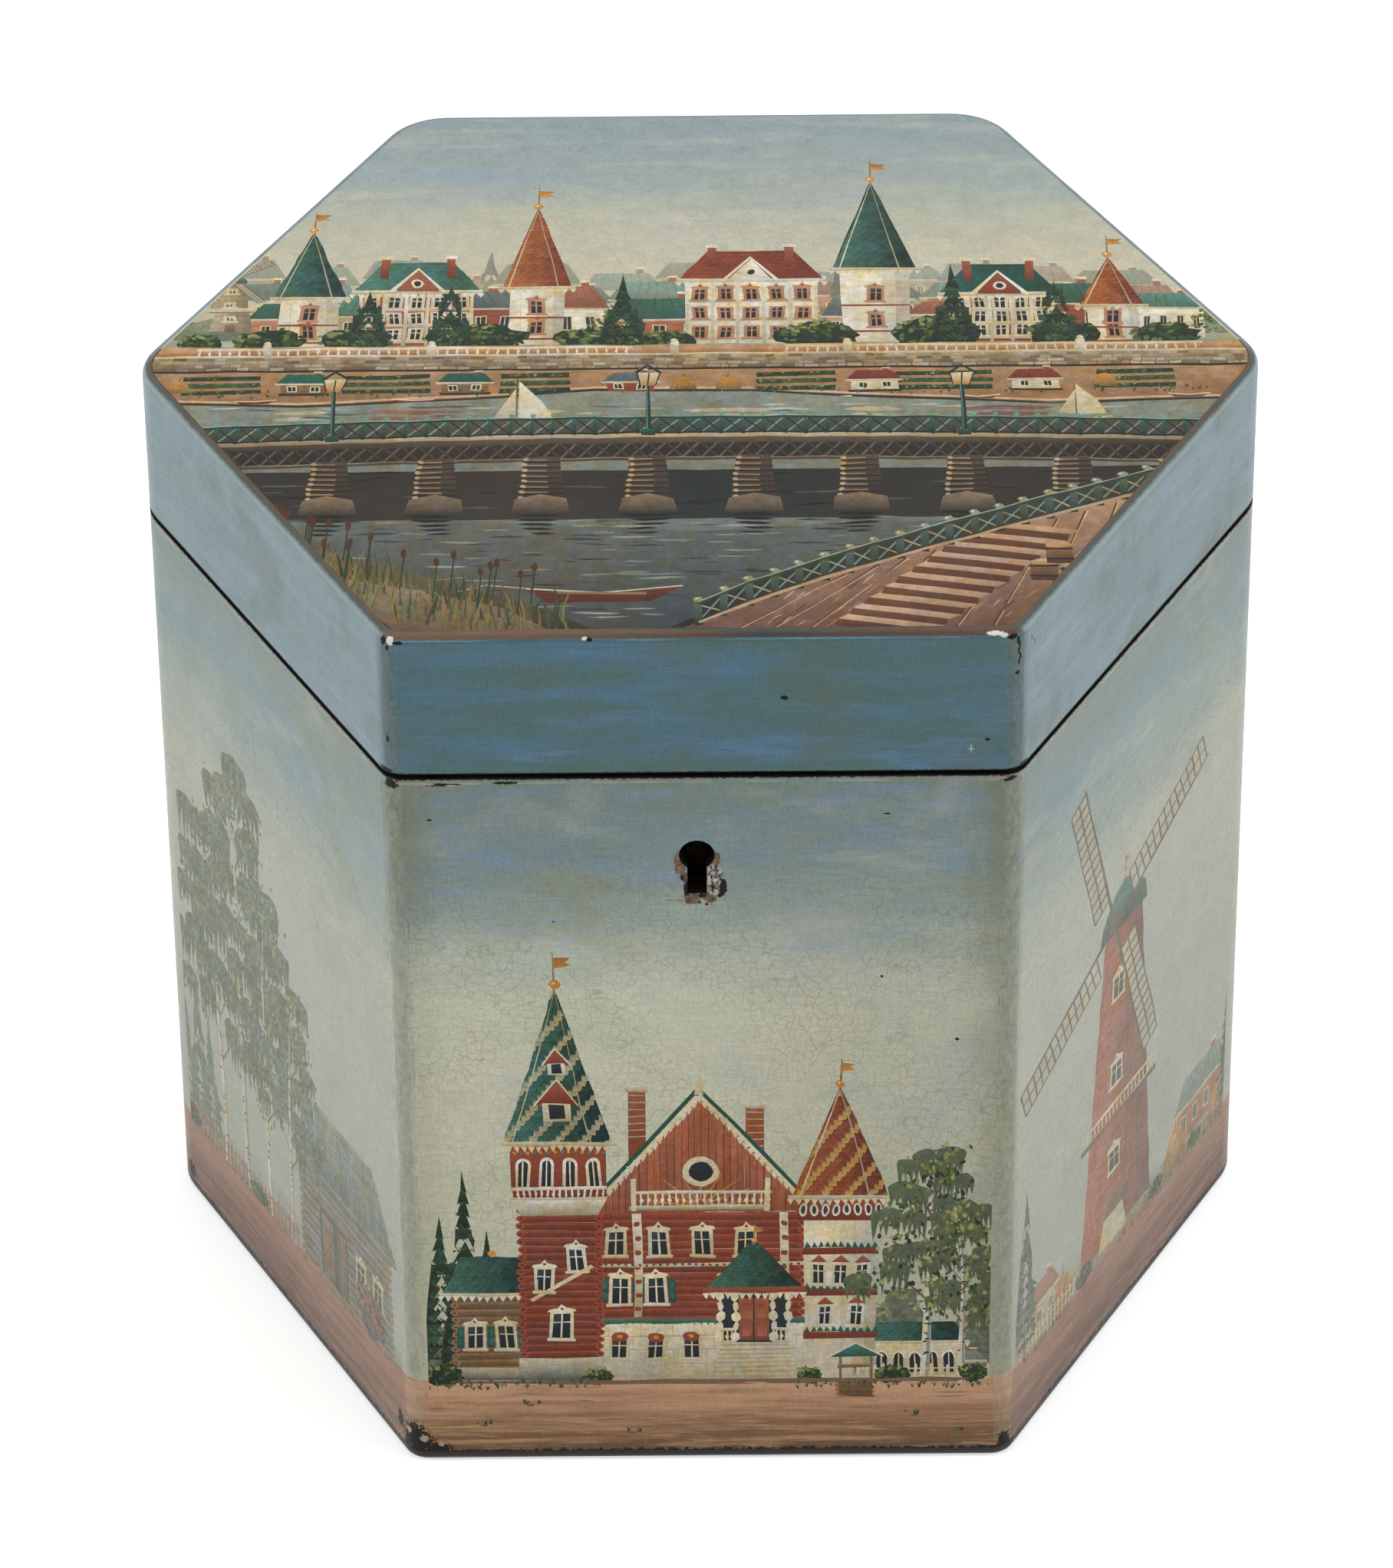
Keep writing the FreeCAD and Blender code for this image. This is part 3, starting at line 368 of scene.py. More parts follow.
def worn_and_highlit_edges(m, colour, z):
    """Rubbed upright edges with a pale painted highlight on their side-facing part, and lacquer showing along the rim
    and the foot.
    """
    _, y, _ = m.split(m.stretch(1, 1, 1))
    near = corner_nearness(m)
    edge_sway = m.noise((1, 1, 0.22), 1.3, 5, 0.7)
    fore = m.ramp(y, -55.2, -54.6)
    band = m.ramp(m.swayed(near, edge_sway, 3.2), m.ramp(fore, 0, 1, 2, 1.5), 0.8)
    mottle = m.noise((1, 1, 0.5), 0.7, 4, 0.7)
    # the corner band: a mottled olive rub on the front part and a pale lilac painted highlight on the side-facing part
    tone = m.mix(fore, m.scale(mottle, [(0.3, "#6f7862"), (0.5, "#8d9384"), (0.68, "#a6aaa2")]),
                 m.scale(mottle, [(0.3, "#a9abb0"), (0.6, "#b4b5bd"), (0.7, "#c3c3c8")]))
    above = m.ramp(z, GROUND - 1, GROUND + 2, 0.3, 0.6)
    colour = m.mix(band * above, colour, tone)
    crest = m.stripe(m.swayed(near, edge_sway, 1.2), 1.7, 0.16, 0.04)
    colour = m.mix(crest * m.ramp(mottle, 0.5, 0.62) * 0.4, colour, "#4a5340")
    ragged = m.cloud(0.7, 5, 0.75)
    ragged = (ragged - 0.5) * 3
    foot = m.ramp(m.sum("MULTIPLY_ADD", ragged, 0.8, z), BODY_LOW + 0.45, BODY_LOW + 0.1)
    rim = m.ramp(m.sum("MULTIPLY_ADD", ragged, 0.3, z), RIM - 0.2, RIM - 0.12)
    under = m.stripe(m.sum("MULTIPLY_ADD", ragged, 0.12, z), RIM - 0.62, 0.2, 0.06)
    under = under * m.ramp(m.noise((0.3, 0.3, 0.1), 2, 3, 0.6), 0.42, 0.6, 0, 0.55)
    colour = m.mix(under, colour, "#bdb3a8")
    colour = m.mix(m.sum("MAXIMUM", foot, rim), colour, "#0b0a09")
    chips = chipped(m, [(-34.6, 3, 2, 2.4), (-32, 1.8, 1.8, 1), (-63.6, 3, 1.2), (34.8, 2.2, 0.9, 1.3),
                        (-36.4, 4.6, 0.7, 1.4),
                        (33.9, 98.2, 0.9, 0.3), (-34.7, 98, 0.8, 0.7), (-29, 98, 2, 0.22),
                        (-22, 98.2, 1.4, 0.2)])
    colour = m.mix(chips, colour, "#100e0c")
    specks = chipped(m, [(-33.6, 3.4, 0.5), (-35.4, 4.2, 0.4), (-31.6, 2.6, 0.35), (33.2, 98.35, 0.7, 0.12),
                         (-30.6, 98.05, 0.9, 0.1), (-28, 97.9, 0.6, 0.12), (-25.6, 98.1, 0.7, 0.1)])
    colour = m.mix(specks, colour, "#b39e88")
    # board laid bare round the keyhole, with its torn fibres
    fibre = m.noise((1.8, 1, 0.8), 0.7, 4, 0.8)
    board = chipped(m, [(-2.7, 87, 0.72, 1.7), (1.15, 87.5, 0.62, 1.2), (-1.35, 82.1, 0.95, 0.95),
                        (0.6, 82.3, 0.85, 0.85),
                        (-2.05, 84.6, 0.35, 1.3)], 1.8)
    colour = m.mix(board, colour, m.scale(fibre, [
        (0.34, "#17120f"), (0.43, "#5d4c3c"), (0.56, "#7d6752"), (0.68, "#a39483"),
    ]))
    torn = chipped(m, [(1.2, 84.6, 0.95, 2.1), (0.9, 86, 0.4, 0.8)], 1.8)
    colour = m.mix(torn, colour, m.scale(fibre, [
        (0.38, "#080707"), (0.46, "#2c2622"), (0.51, "#95897d"), (0.58, "#dedad2"), (0.68, "#4a4038"),
    ]))
    tail = chipped(m, [(-3.4, 81.9, 0.9, 0.12), (-2.5, 81.75, 0.5, 0.15)])
    colour = m.mix(tail * 0.7, colour, "#86745c")
    black = chipped(m, [(2.1, 83.6, 0.45, 1.2), (1.75, 82.5, 0.3, 0.3), (-2.45, 85, 0.2, 0.4),
                        (-1.95, 83.4, 0.35, 1),
                        (0.25, 81.3, 0.2, 0.16), (-0.5, 81.5, 0.2, 0.12), (-0.3, 82.5, 0.5, 0.35),
                        (-30.6, 93.2, 0.3, 0.12),
                        (20.4, 93.6, 0.35, 0.12), (20, 71, 0.2, 0.15), (28.6, 62, 0.25, 0.2),
                        (-17, 79, 0.15, 0.1)], 2)
    return m.mix(black, colour, "#0a0908")


def lid_side_paint():
    """Plain blue-grey on the lid's sides, painted darker teal on the front as a painted shade, and the turned edge of
    the picture above the front.
    """
    m = new_material("lid_side_paint")
    x, y, z = m.split(m.stretch(1, 1, 1))
    wash = m.noise((0.16, 0.16, 1.2), 4, 5, 0.62)
    colour = m.scale(wash, [
        (0.25, "#768987"), (0.45, "#7d9094"), (0.6, "#82969d"), (0.75, "#8a9fae"),
    ])
    # the front face is painted a darker teal: a painted shade
    colour = m.mix(m.ramp(y, -53.8, -55.8), colour, m.scale(wash, [
        (0.25, "#58726e"), (0.45, "#587678"), (0.6, "#597b8d"), (0.75, "#6087aa"),
    ]))
    front = m.ramp(y, -54.6, -55.4)
    bright = m.noise((0.2, 0.2, 1.2), 3, 4, 0.62)
    low = m.ramp(z, 112, 101) * m.ramp(front, 0, 1, 0.12, 0.45)
    colour = m.mix(m.ramp(bright, 0.52, 0.7) * low, colour, "#6f93bf")
    stain = m.ramp(m.cloud(9, 3, 0.5), 0.5, 0.7, 0, 0.4)
    colour = m.mix(stain, colour, "#66705f")
    near = corner_nearness(m)
    edge_sway = m.noise((1, 1, 0.3), 1.2, 5, 0.7)
    fore = m.ramp(y, -55.2, -54.6)
    band = m.ramp(m.swayed(near, edge_sway, 2.6), 1.9, 0.7, 0, 0.6)
    mottle = m.noise((1, 1, 0.5), 0.7, 4, 0.7)
    # corner bands: a darker worn mottle on the front part and a pale painted highlight on the side-facing part
    colour = m.mix(band, colour, m.mix(
        fore, m.scale(mottle, [(0.3, "#4b5a50"), (0.5, "#65726d"), (0.66, "#847f77")]), "#959daa"))
    ragged = (m.cloud(0.8, 5, 0.75) - 0.5) * 1.2
    rim = m.ramp(m.sum("MULTIPLY_ADD", ragged, 0.3, z), LID_RIM + 0.2, LID_RIM + 0.12)
    colour = m.mix(rim, colour, "#0b0a09")
    # the picture's colours wrap over the front edge, brown with a dark stretch right of the middle
    edge_z = m.sum("MULTIPLY_ADD", ragged, 0.25, z)
    dim = m.ramp(z, LID_TOP - 1.25, LID_TOP - 0.75) * front
    colour = m.mix(dim * 0.75, colour, "#4d666e")
    # a thin light-blue painted highlight along the front's top edge
    line = m.stripe(edge_z, LID_TOP - 0.72, 0.16, 0.05) * front
    colour = m.mix(line * m.ramp(bright, 0.42, 0.6, 0, 0.5), colour, "#86a3bd")
    turned = m.ramp(edge_z, LID_TOP - 0.6, LID_TOP - 0.45) * front
    wrap = m.scale(m.ramp(x, -30, 34), [
        (0, "#745a48"), (0.45, "#5d4a38"), (0.6, "#3e4440"), (1, "#64493b"),
    ])
    colour = m.mix(turned, colour, wrap)
    side = (1 - front) * m.ramp(y, 4, 0)
    dark = m.ramp(edge_z, LID_TOP - 0.3, LID_TOP - 0.08) * side
    colour = m.mix(dark * 0.8, colour, "#4b4233")
    shine = m.stripe(edge_z, LID_TOP - 0.55, 0.3, 0.1) * side
    colour = m.mix(shine * 0.5, colour, "#a9b3a6")
    bare = chipped(m, [(34.3, 115.8, 0.45, 1.2), (33.2, 116.7, 0.6, 0.35)], 2.4)
    colour = m.mix(bare * 0.4, colour, "#75716a")
    white = chipped(m, [(-34.3, 117.3, 0.42, 0.6), (-12.9, 117.5, 0.35, 0.25), (32.2, 117.62, 1.2, 0.22),
                        (33.2, 117.5, 0.5, 0.28)], 2)
    colour = m.mix(white, colour, "#e9e6df")
    star = chipped(m, [(29.7, 102.4, 0.12, 0.5), (29.7, 102.3, 0.4, 0.1)], 2)
    colour = m.mix(star * 0.55, colour, "#c9d2cc")
    black = chipped(m, [(-35, 117.2, 0.35, 0.6), (-33.4, 117.1, 0.55, 0.25), (-34.6, 116.3, 0.2, 0.4),
                        (-12.4, 117.3, 0.35, 0.25),
                        (34.1, 117.2, 0.6, 0.32), (34.75, 116.6, 0.2, 0.5), (34.9, 115.9, 0.15, 0.5),
                        (34.8, 115.1, 0.13, 0.5),
                        (35, 114.4, 0.16, 0.5), (34.85, 113.7, 0.13, 0.4), (34.7, 112.3, 0.32, 0.26),
                        (36.3, 115.6, 0.14, 0.4),
                        (36.6, 114.8, 0.12, 0.3), (9, 109.4, 0.4, 0.3), (31.5, 103.6, 0.3, 0.2),
                        (-35.3, 99.7, 0.9, 0.32), (35.6, 99.65, 0.8, 0.22), (-34.9, 104, 0.2, 0.5)], 2)
    colour = m.mix(black, colour, "#100e0c")
    return varnish(m, canvas_grain(m, colour), 0.38)


def panorama():
    """Sky and picture on the lid's top."""
    m = new_material("panorama")
    x, y, _ = m.split(m.stretch(1, 1, 1))
    drift = m.noise((0.25, 1, 1), 6, 4, 0.6)
    level = m.swayed(y, drift, 14)
    sky = m.scale(m.ramp(level, -8, 56), [
        (0, "#d2c7ab"), (0.42, "#ccc5ac"), (0.66, "#bebeaa"),
        (0.86, "#a4afaa"), (1, "#96a5a8"),
    ])
    cloud = m.noise((0.12, 0.9, 1), 3.5, 5, 0.6)
    sky = m.mix(m.ramp(cloud, 0.5, 0.72, 0, 0.4), sky, "#cbc8b8")
    blue = m.noise((0.1, 0.7, 1), 4, 4, 0.6)
    blue = m.ramp(blue, 0.5, 0.7, 0, 0.4) * m.ramp(y, 18, 40)
    sky = m.mix(blue, sky, "#8ba3bd")
    ragged = m.swayed(y, m.cloud(0.9, 4, 0.7), 0.8)
    shore = m.scale(m.ramp(x, -60, 60), [
        (0, "#5c4634"), (0.28, "#7a5a40"), (0.48, "#3b4040"), (0.6, "#4b4a44"), (1, "#6b4d3d"),
    ])
    ground = m.mix(m.ramp(ragged, 3.2, 3.8), shore, crackle(m, sky, 0.15))
    return varnish(m, painted(m, ground), 0.4)


def lacquer(name, colour, rough, dust, coat=0.4, shine=0.5):
    """Plain lacquer, rubbed and dusty in places."""
    m = new_material(name)
    cloud = m.cloud(7, 4, 0.6)
    shade = m.mix(m.ramp(cloud, 0.35, 0.75, 0, 0.4), colour, dust)
    fine = m.cloud(0.5, 3, 0.6)
    patchy = m.ramp(cloud, 0.3, 0.7, rough, rough + 0.14)
    return m.finish(shade, patchy, m.bump(fine, 0.05, 0.3), coat=coat, coat_rough=0.15, shine=shine)


def metal(name, colour, tarnish, rough):
    """Old metal with tarnish and fine drawn lines."""
    m = new_material(name)
    cloud = m.cloud(2.6, 5, 0.65)
    shade = m.mix(m.ramp(cloud, 0.42, 0.72), colour, tarnish)
    drawn = m.noise((0.3, 2, 2), 0.25, 2, 0.5)
    patchy = m.ramp(cloud, 0.35, 0.75, rough, rough + 0.2)
    return m.finish(shade, patchy, m.bump(drawn, 0.02, 0.4), metal=1)


def wood(name, colour, dark):
    """Planed hardwood, grain along x."""
    m = new_material(name)
    ring = m.noise((0.12, 1, 1), 1, 5, 0.6, 1)
    shade = m.mix(m.ramp(ring, 0.35, 0.65), dark, colour)
    pore = m.noise((0.5, 5, 5), 0.6, 2, 0.5)
    return m.finish(shade, m.ramp(ring, 0.3, 0.7, 0.55, 0.7), m.bump(pore, 0.08, 0.4))


# What a painter needs
class Canvas:
    """One flat side as a painter sees it: millimetres right of its middle, and up."""

    def __init__(self, border, seed, painted_sheen=0):
        self.border = border
        self.painted_sheen = painted_sheen
        self.random = random.Random(seed)
        self.shapes = []

    def between(self, low, high):
        return self.random.uniform(low, high)

    def one_of(self, things):
        return things[self.random.randint(0, len(things) - 1)]

    def by_hand(self, u, v):
        """Where the brush lands when it means to touch u, v."""
        return (
            u + 0.09 * math.sin(0.9 * v + 0.35 * u) + 0.045 * math.sin(2.7 * v - 1.3 * u) + self.random.gauss(0, 0.018),
            v + 0.08 * math.sin(0.8 * u - 0.5 * v) + 0.04 * math.sin(3.1 * u + 0.9 * v) + self.random.gauss(0, 0.018),
        )

    def paint(self, points, low, high=None, cover=1, sideways=False, leaf=0, across=0, upright=0):
        """Lays one shape over what is there, shaded from its low colour to its high one."""
        drawn = []
        for (au, av), (bu, bv) in zip(points, points[1:] + points[:1]):
            parts = max(1, int(math.dist((au, av), (bu, bv)) / 5))
            drawn += [(au + (bu - au) * i / parts, av + (bv - av) * i / parts) for i in range(parts)]
        points = clipped([self.by_hand(u, v) for u, v in drawn], self.border)
        if len(points) < 3:
            return
        us, vs = [p[0] for p in points], [p[1] for p in points]
        area = sum(us[i - 1] * vs[i] - us[i] * vs[i - 1] for i in range(len(points))) / 2
        if abs(area) < 0.004:
            return
        if area < 0:
            points.reverse()
        span = (max(us) - min(us), 0) if sideways else (0, max(vs) - min(vs))
        total = sum(span) ** 2
        high = low if high is None else high
        # on the front's two oblique sides every colour is drawn toward pale grey-green: a painted sheen
        low, high = blend(low, HAZE_AND_SHEEN, self.painted_sheen), blend(high, HAZE_AND_SHEEN, self.painted_sheen)
        self.shapes.append((
            points, low, high, (min(us), min(vs)), (span[0] / total, span[1] / total),
            cover, (leaf, across, upright), (min(us), max(us), min(vs), max(vs)),
        ))


def clipped(points, border):
    """The points of a shape that is cut off where it leaves a convex border."""
    for i in range(len(border)):
        (au, av), (bu, bv) = border[i - 1], border[i]
        side = [(bu - au) * (v - av) - (bv - av) * (u - au) for u, v in points]
        kept = []
        for k in range(len(points)):
            (pu, pv), (qu, qv) = points[k - 1], points[k]
            a, b = side[k - 1], side[k]
            if (a < 0) != (b < 0):
                t = a / (a - b)
                kept.append((pu + t * (qu - pu), pv + t * (qv - pv)))
            if b >= 0:
                kept.append((qu, qv))
        points = kept
        if not points:
            break
    tidy = []
    for p in points:
        if not tidy or math.dist(p, tidy[-1]) > 0.012:
            tidy.append(p)
    while len(tidy) > 1 and math.dist(tidy[0], tidy[-1]) <= 0.012:
        tidy.pop()
    return tidy


CREAM, WHITE, SHADOW = srgb("#d9cfb4"), srgb("#e4dfcf"), srgb("#151312")
TERRACOTTA, BRICK, RUST = srgb("#8c4635"), srgb("#76372b"), srgb("#a05f47")
TEAL, DEEP_TEAL, SEA = srgb("#265850"), srgb("#102d2b"), srgb("#4b7c72")
GOLD, OCHRE, LOG = srgb("#c99048"), srgb("#a08252"), srgb("#82684f")
PANE, SLATE, DUSK = srgb("#141a21"), srgb("#5a676c"), srgb("#2c363e")
LEAVES = [srgb(code) for code in ("#121f18", "#213522", "#38502f", "#596c3f", "#868f57")]
BIRCH_LEAVES = [srgb(code) for code in ("#26351f", "#3c5030", "#5d6d41", "#868e55", "#a5a46c")]
NEEDLES = [srgb(code) for code in ("#0c1813", "#15261c", "#253d2f", "#3d5841")]
# pale grey-green of far distance in the pictures, and also the colour of the painted sheen on the front's two oblique
# sides
HAZE_AND_SHEEN = srgb("#9aa39c")


def blend(a, b, share):
    return Tone(p + (q - p) * share for p, q in zip(colour_of(a), colour_of(b)))


def box(c, u0, v0, u1, v1, low, high=None, **more):
    c.paint([(u0, v0), (u1, v0), (u1, v1), (u0, v1)], low, high, **more)


def line(c, points, width, colour, end=None, **more):
    """A line of the brush, from its width at the start to its end width."""
    end = width if end is None else end
    one, other = [], []
    for i, (u, v) in enumerate(points):
        (au, av), (bu, bv) = points[max(i - 1, 0)], points[min(i + 1, len(points) - 1)]
        long = math.dist((au, av), (bu, bv)) or 1
        half = (width + (end - width) * i / max(len(points) - 1, 1)) / 2 * c.between(0.85, 1.15)
        one.append((u - (bv - av) / long * half, v + (bu - au) / long * half))
        other.append((u + (bv - av) / long * half, v - (bu - au) / long * half))
    c.paint(one + other[::-1], colour, **more)


def dab(c, u, v, size, colour, angle=0, fat=0.5, **more):
    """One touch of a pointed brush."""
    turn, lift = math.cos(angle) * size, math.sin(angle) * size
    oval = [(-0.5, 0), (-0.15, -0.5), (0.28, -0.42), (0.5, 0), (0.15, 0.5), (-0.28, 0.42)]
    c.paint([(u + x * turn - y * fat * lift, v + x * lift + y * fat * turn) for x, y in oval], colour, **more)


def mass(c, u, v, wide, tall, low, high, ragged=0.16, corners=18, **more):
    """A soft-edged round mass."""
    ring = []
    for i in range(corners):
        a = 2 * math.pi * i / corners
        k = 1 + c.between(-ragged, ragged)
        ring.append((u + wide / 2 * k * math.cos(a), v + tall / 2 * k * math.sin(a)))
    c.paint(ring, low, high, **more)


def leaves(c, u, v, wide, tall, number, tones, size=0.9, droop=0, cover=1):
    """Touches of leaf colour, dark ones first and lit ones last, up and to the left."""
    touches = []
    for _ in range(number):
        a, d = c.between(0, 2 * math.pi), math.sqrt(c.random.random())
        x, y = d * math.cos(a), d * math.sin(a)
        lit = 0.48 + 0.3 * y - 0.18 * x + c.between(-0.28, 0.28)
        touches.append((lit, u + x * wide / 2, v + y * tall / 2))
    for lit, x, y in sorted(touches):
        tone = tones[min(max(int(lit * len(tones)), 0), len(tones) - 1)]
        angle = -math.pi / 2 + c.between(-0.5, 0.5) if c.random.random() < droop else c.between(0, 3.14)
        dab(c, x, y, size * c.between(0.7, 1.35), tone * c.between(0.88, 1.12), angle, 0.55,
            cover=cover)


def bush(c, u, v, wide, tall, tones=LEAVES, number=40, size=0.8, cover=1):
    mass(c, u, v + tall * 0.5, wide, tall, tones[0], tones[1], leaf=0.8, cover=cover)
    leaves(c, u, v + tall * 0.52, wide * 1.02, tall * 1.02, number, tones, size, cover=cover)


def spruce(c, u, v, tall, wide, tones=NEEDLES, cover=1):
    """A spruce, tier over tier of drooping boughs."""
    line(c, [(u, v), (u, v + tall * 0.2)], wide * 0.07, "#4a3a2e", cover=cover)
    tiers = max(5, int(tall / 1.9))
    for k in range(tiers):
        foot, half = v + tall * (0.08 + 0.88 * k / tiers), wide / 2 * (1 - k / tiers) ** 0.85 + 0.12
        crest = foot + tall * 1.7 / tiers
        ragged, teeth = [(u, crest)], 7 if half > 0.9 else 3
        for i in range(teeth + 1):
            x = u - half + 2 * half * i / teeth
            drop = 0.35 if i in (0, teeth) else c.between(-0.1, 0.55)
            ragged.append((x + c.between(-0.12, 0.12), foot - drop * half * 0.4))
            if i < teeth:
                ragged.append((x + half / teeth, foot + half * 0.2))
        tone = tones[k % 2 + c.random.randint(0, 1)]
        c.paint(ragged, tone * 0.75, blend(tone, tones[-1], 0.5), leaf=0.7, cover=cover)
        for _ in range(int(3 + half * 2)):
            x = c.between(-0.8, 0.6) * half
            dab(c, u + x, foot + c.between(0, 0.5) * half, 0.5 + half * 0.2, tones[-1],
                -0.9 if x < 0 else 0.9, 0.22, cover=cover)


def birch(c, u, v, tall, lean=0, tones=BIRCH_LEAVES, thick=1.1, number=150, cover=1):
    """A birch: white trunk with dark scars, thin boughs and veils of hanging leaves."""
    stem = [(u + lean * t * t + 0.25 * math.sin(5 * t + u), v + tall * t) for t in (0, 0.2, 0.4, 0.6, 0.8, 0.97)]
    boughs = []
    for i in range(11):
        t = 0.3 + 0.06 * i
        side = (-1) ** i * (1.25 - t) * c.between(0.7, 1.1)
        start = (u + lean * t * t, v + tall * t)
        tip = (start[0] + side * tall * 0.23, start[1] + tall * 0.11)
        boughs.append((start, ((start[0] + tip[0]) / 2, tip[1] + tall * 0.01), tip))
    for start, bend, tip in boughs:
        for x, y in (bend, tip):
            x, y = x + c.between(-0.02, 0.02) * tall, y + c.between(-0.03, 0.02) * tall
            ring, half, drop = [], tall * c.between(0.035, 0.06), tall * c.between(0.08, 0.13)
            for i in range(7):
                a = math.pi * i / 6
                ring.append((x + half * math.cos(a), y + tall * 0.028 * math.sin(a) * c.between(0.7, 1.3)))
            for i in range(5):
                t = (i + 0.5) / 5
                ring.append((x - half * (1 - 2 * t) * 0.95, y - drop * c.between(0.6, 1.15)))
                ring.append((x - half * (1 - 2 * (i + 1) / 5) * 0.9, y - drop * c.between(0.15, 0.45)))
            c.paint(ring, tones[0], tones[1], leaf=1, cover=cover * 0.85)
    line(c, stem, thick, "#cfcabb", 0.2, cover=cover)
    line(c, [(x + thick * 0.3 * (1 - i / 6), y) for i, (x, y) in enumerate(stem)], thick * 0.34, "#8f8f8a", 0.1,
         cover=cover)
    for _ in range(int(tall * 0.6)):
        t = c.between(0.01, 0.75)
        x = u + lean * t * t + 0.25 * math.sin(5 * t + u) + c.between(-0.3, 0.25) * thick
        dab(c, x, v + tall * t, thick * c.between(0.35, 0.7), SHADOW, 0.1, 0.35, cover=cover)
    for start, bend, tip in boughs:
        line(c, [start, bend, tip], 0.24, "#5b5148", 0.08, cover=cover)
    for start, bend, tip in boughs:
        for x, y in (bend, tip, ((bend[0] + tip[0]) / 2, (bend[1] + tip[1]) / 2)):
            leaves(c, x, y - tall * 0.035, tall * 0.14, tall * 0.15, number // 24, tones, 0.72, 0.85, cover)
    leaves(c, u + lean, v + tall * 0.93, tall * 0.11, tall * 0.16, number // 6, tones, 0.7, 0.7, cover)


def logs(c, u0, v0, u1, v1, colour, step=1.15, ends=True):
    """A log wall: every log lit from above, with its sawn ends at the corners."""
    count = max(2, round((v1 - v0) / step))
    high = (v1 - v0) / count
    for k in range(count):
        tone = colour * c.between(0.88, 1.1)
        foot = v0 + k * high
        box(c, u0, foot, u1, foot + high, tone * 0.5, tone * 1.18, across=0.6)
        box(c, u0, foot + high * 0.72, u1, foot + high * 0.82, tone * 1.5, across=0.8)
    for x in (u0, u1) if ends else ():
        for k in range(count):
            y = v0 + (k + 0.5) * high
            dab(c, x, y, high * 0.95, colour * 1.35, 0.3, 0.95)
            dab(c, x, y, high * 0.45, colour * 0.6, 0.3, 0.9)


def planks(c, outline, low, high, step=0.9):
    """Upright boards cut to an outline."""
    us, vs = [p[0] for p in outline], [p[1] for p in outline]
    x = min(us)
    while x < max(us):
        board = clipped([(x, min(vs)), (x + step, min(vs)), (x + step, max(vs)), (x, max(vs))], outline)
        if len(board) > 2:
            k = c.between(0.86, 1.12)
            c.paint(board, low * k, high * k, upright=0.5)
        seam = clipped([(x, min(vs)), (x + 0.1, min(vs)), (x + 0.1, max(vs)), (x, max(vs))], outline)
        if len(seam) > 2:
            c.paint(seam, low * 0.45)
        x += step


def shingles(c, outline, lit, dark, size=1, accent=None, every=3):
    """A roof of rounded shingles inside a convex outline, lit on its left."""
    c.paint(list(outline), dark * 0.5)
    us, vs = [p[0] for p in outline], [p[1] for p in outline]
    row, y = 0, max(vs)
    while y > min(vs) - size:
        y -= size * 0.72
        x = min(us) - size * (0.5 if row % 2 else 0)
        i = 0
        while x < max(us) + size:
            leafy = [(x - size * 0.46, y + size * 1.15), (x - size * 0.46, y + size * 0.3), (x - size * 0.2, y),
                     (x + size * 0.2, y), (x + size * 0.46, y + size * 0.3), (x + size * 0.46, y + size * 1.15)]
            tile = clipped(leafy, outline)
            if len(tile) > 2:
                side = (x - min(us)) / max(max(us) - min(us), 0.1)
                tone = blend(lit, dark, min(max(side * 1.1 + c.between(-0.15, 0.15), 0), 1))
                if accent and (i + row // 2) % every == 0:
                    tone = blend(tone, accent, 0.75)
                c.paint(tile, tone * 1.25, tone * 0.62)
            x += size
            i += 1
        row += 1


def window(c, u, v, wide, tall, trim=CREAM, pane=PANE, shutters=None, crest=True):
    """A window with carved trim. u is its middle and v its sill."""
    half = wide / 2
    if shutters:
        for side in (-1, 1):
            x = u + side * (half + 0.5 + wide * 0.24)
            box(c, x - wide * 0.22, v, x + wide * 0.22, v + tall, shutters * 0.8, shutters, upright=0.4)
            box(c, x - wide * 0.12, v + tall * 0.15, x + wide * 0.12, v + tall * 0.42, shutters * 1.5)
            box(c, x - wide * 0.12, v + tall * 0.56, x + wide * 0.12, v + tall * 0.84, shutters * 1.5)
    box(c, u - half - 0.4, v - 0.15, u + half + 0.4, v + tall + 0.35, trim * 0.78, trim)
    box(c, u - half, v, u + half, v + tall, pane, pane * 2.2)
    c.paint([(u - half, v + tall), (u - half, v + tall * 0.45), (u + half * 0.2, v + tall)], pane * 4.5)
    box(c, u - 0.09, v, u + 0.09, v + tall, trim)
    box(c, u - half, v + tall * 0.62, u + half, v + tall * 0.62 + 0.15, trim)
    box(c, u - half - 0.65, v - 0.55, u + half + 0.65, v - 0.12, trim * 0.62, trim * 1.1)
    if crest:
        y = v + tall + 0.35
        c.paint([(u - half - 0.7, y), (u + half + 0.7, y), (u + half + 0.5, y + 0.35), (u + half * 0.5, y + 0.55),
                 (u, y + 1.15), (u - half * 0.5, y + 0.55), (u - half - 0.5, y + 0.35)], trim, trim * 1.1)
        dab(c, u, y + 0.45, 0.42, TERRACOTTA, 0, 0.9)


def lace(c, a, b, step, size, colour):
    """Carved pendants along an eave."""
    count = max(2, int(math.dist(a, b) / step))
    for i in range(count + 1):
        u, v = a[0] + (b[0] - a[0]) * i / count, a[1] + (b[1] - a[1]) * i / count
        c.paint([(u - size / 2, v + 0.05), (u + size / 2, v + 0.05), (u + size * 0.2, v - size * 0.6), (u, v - size),
                 (u - size * 0.2, v - size * 0.6)], colour)


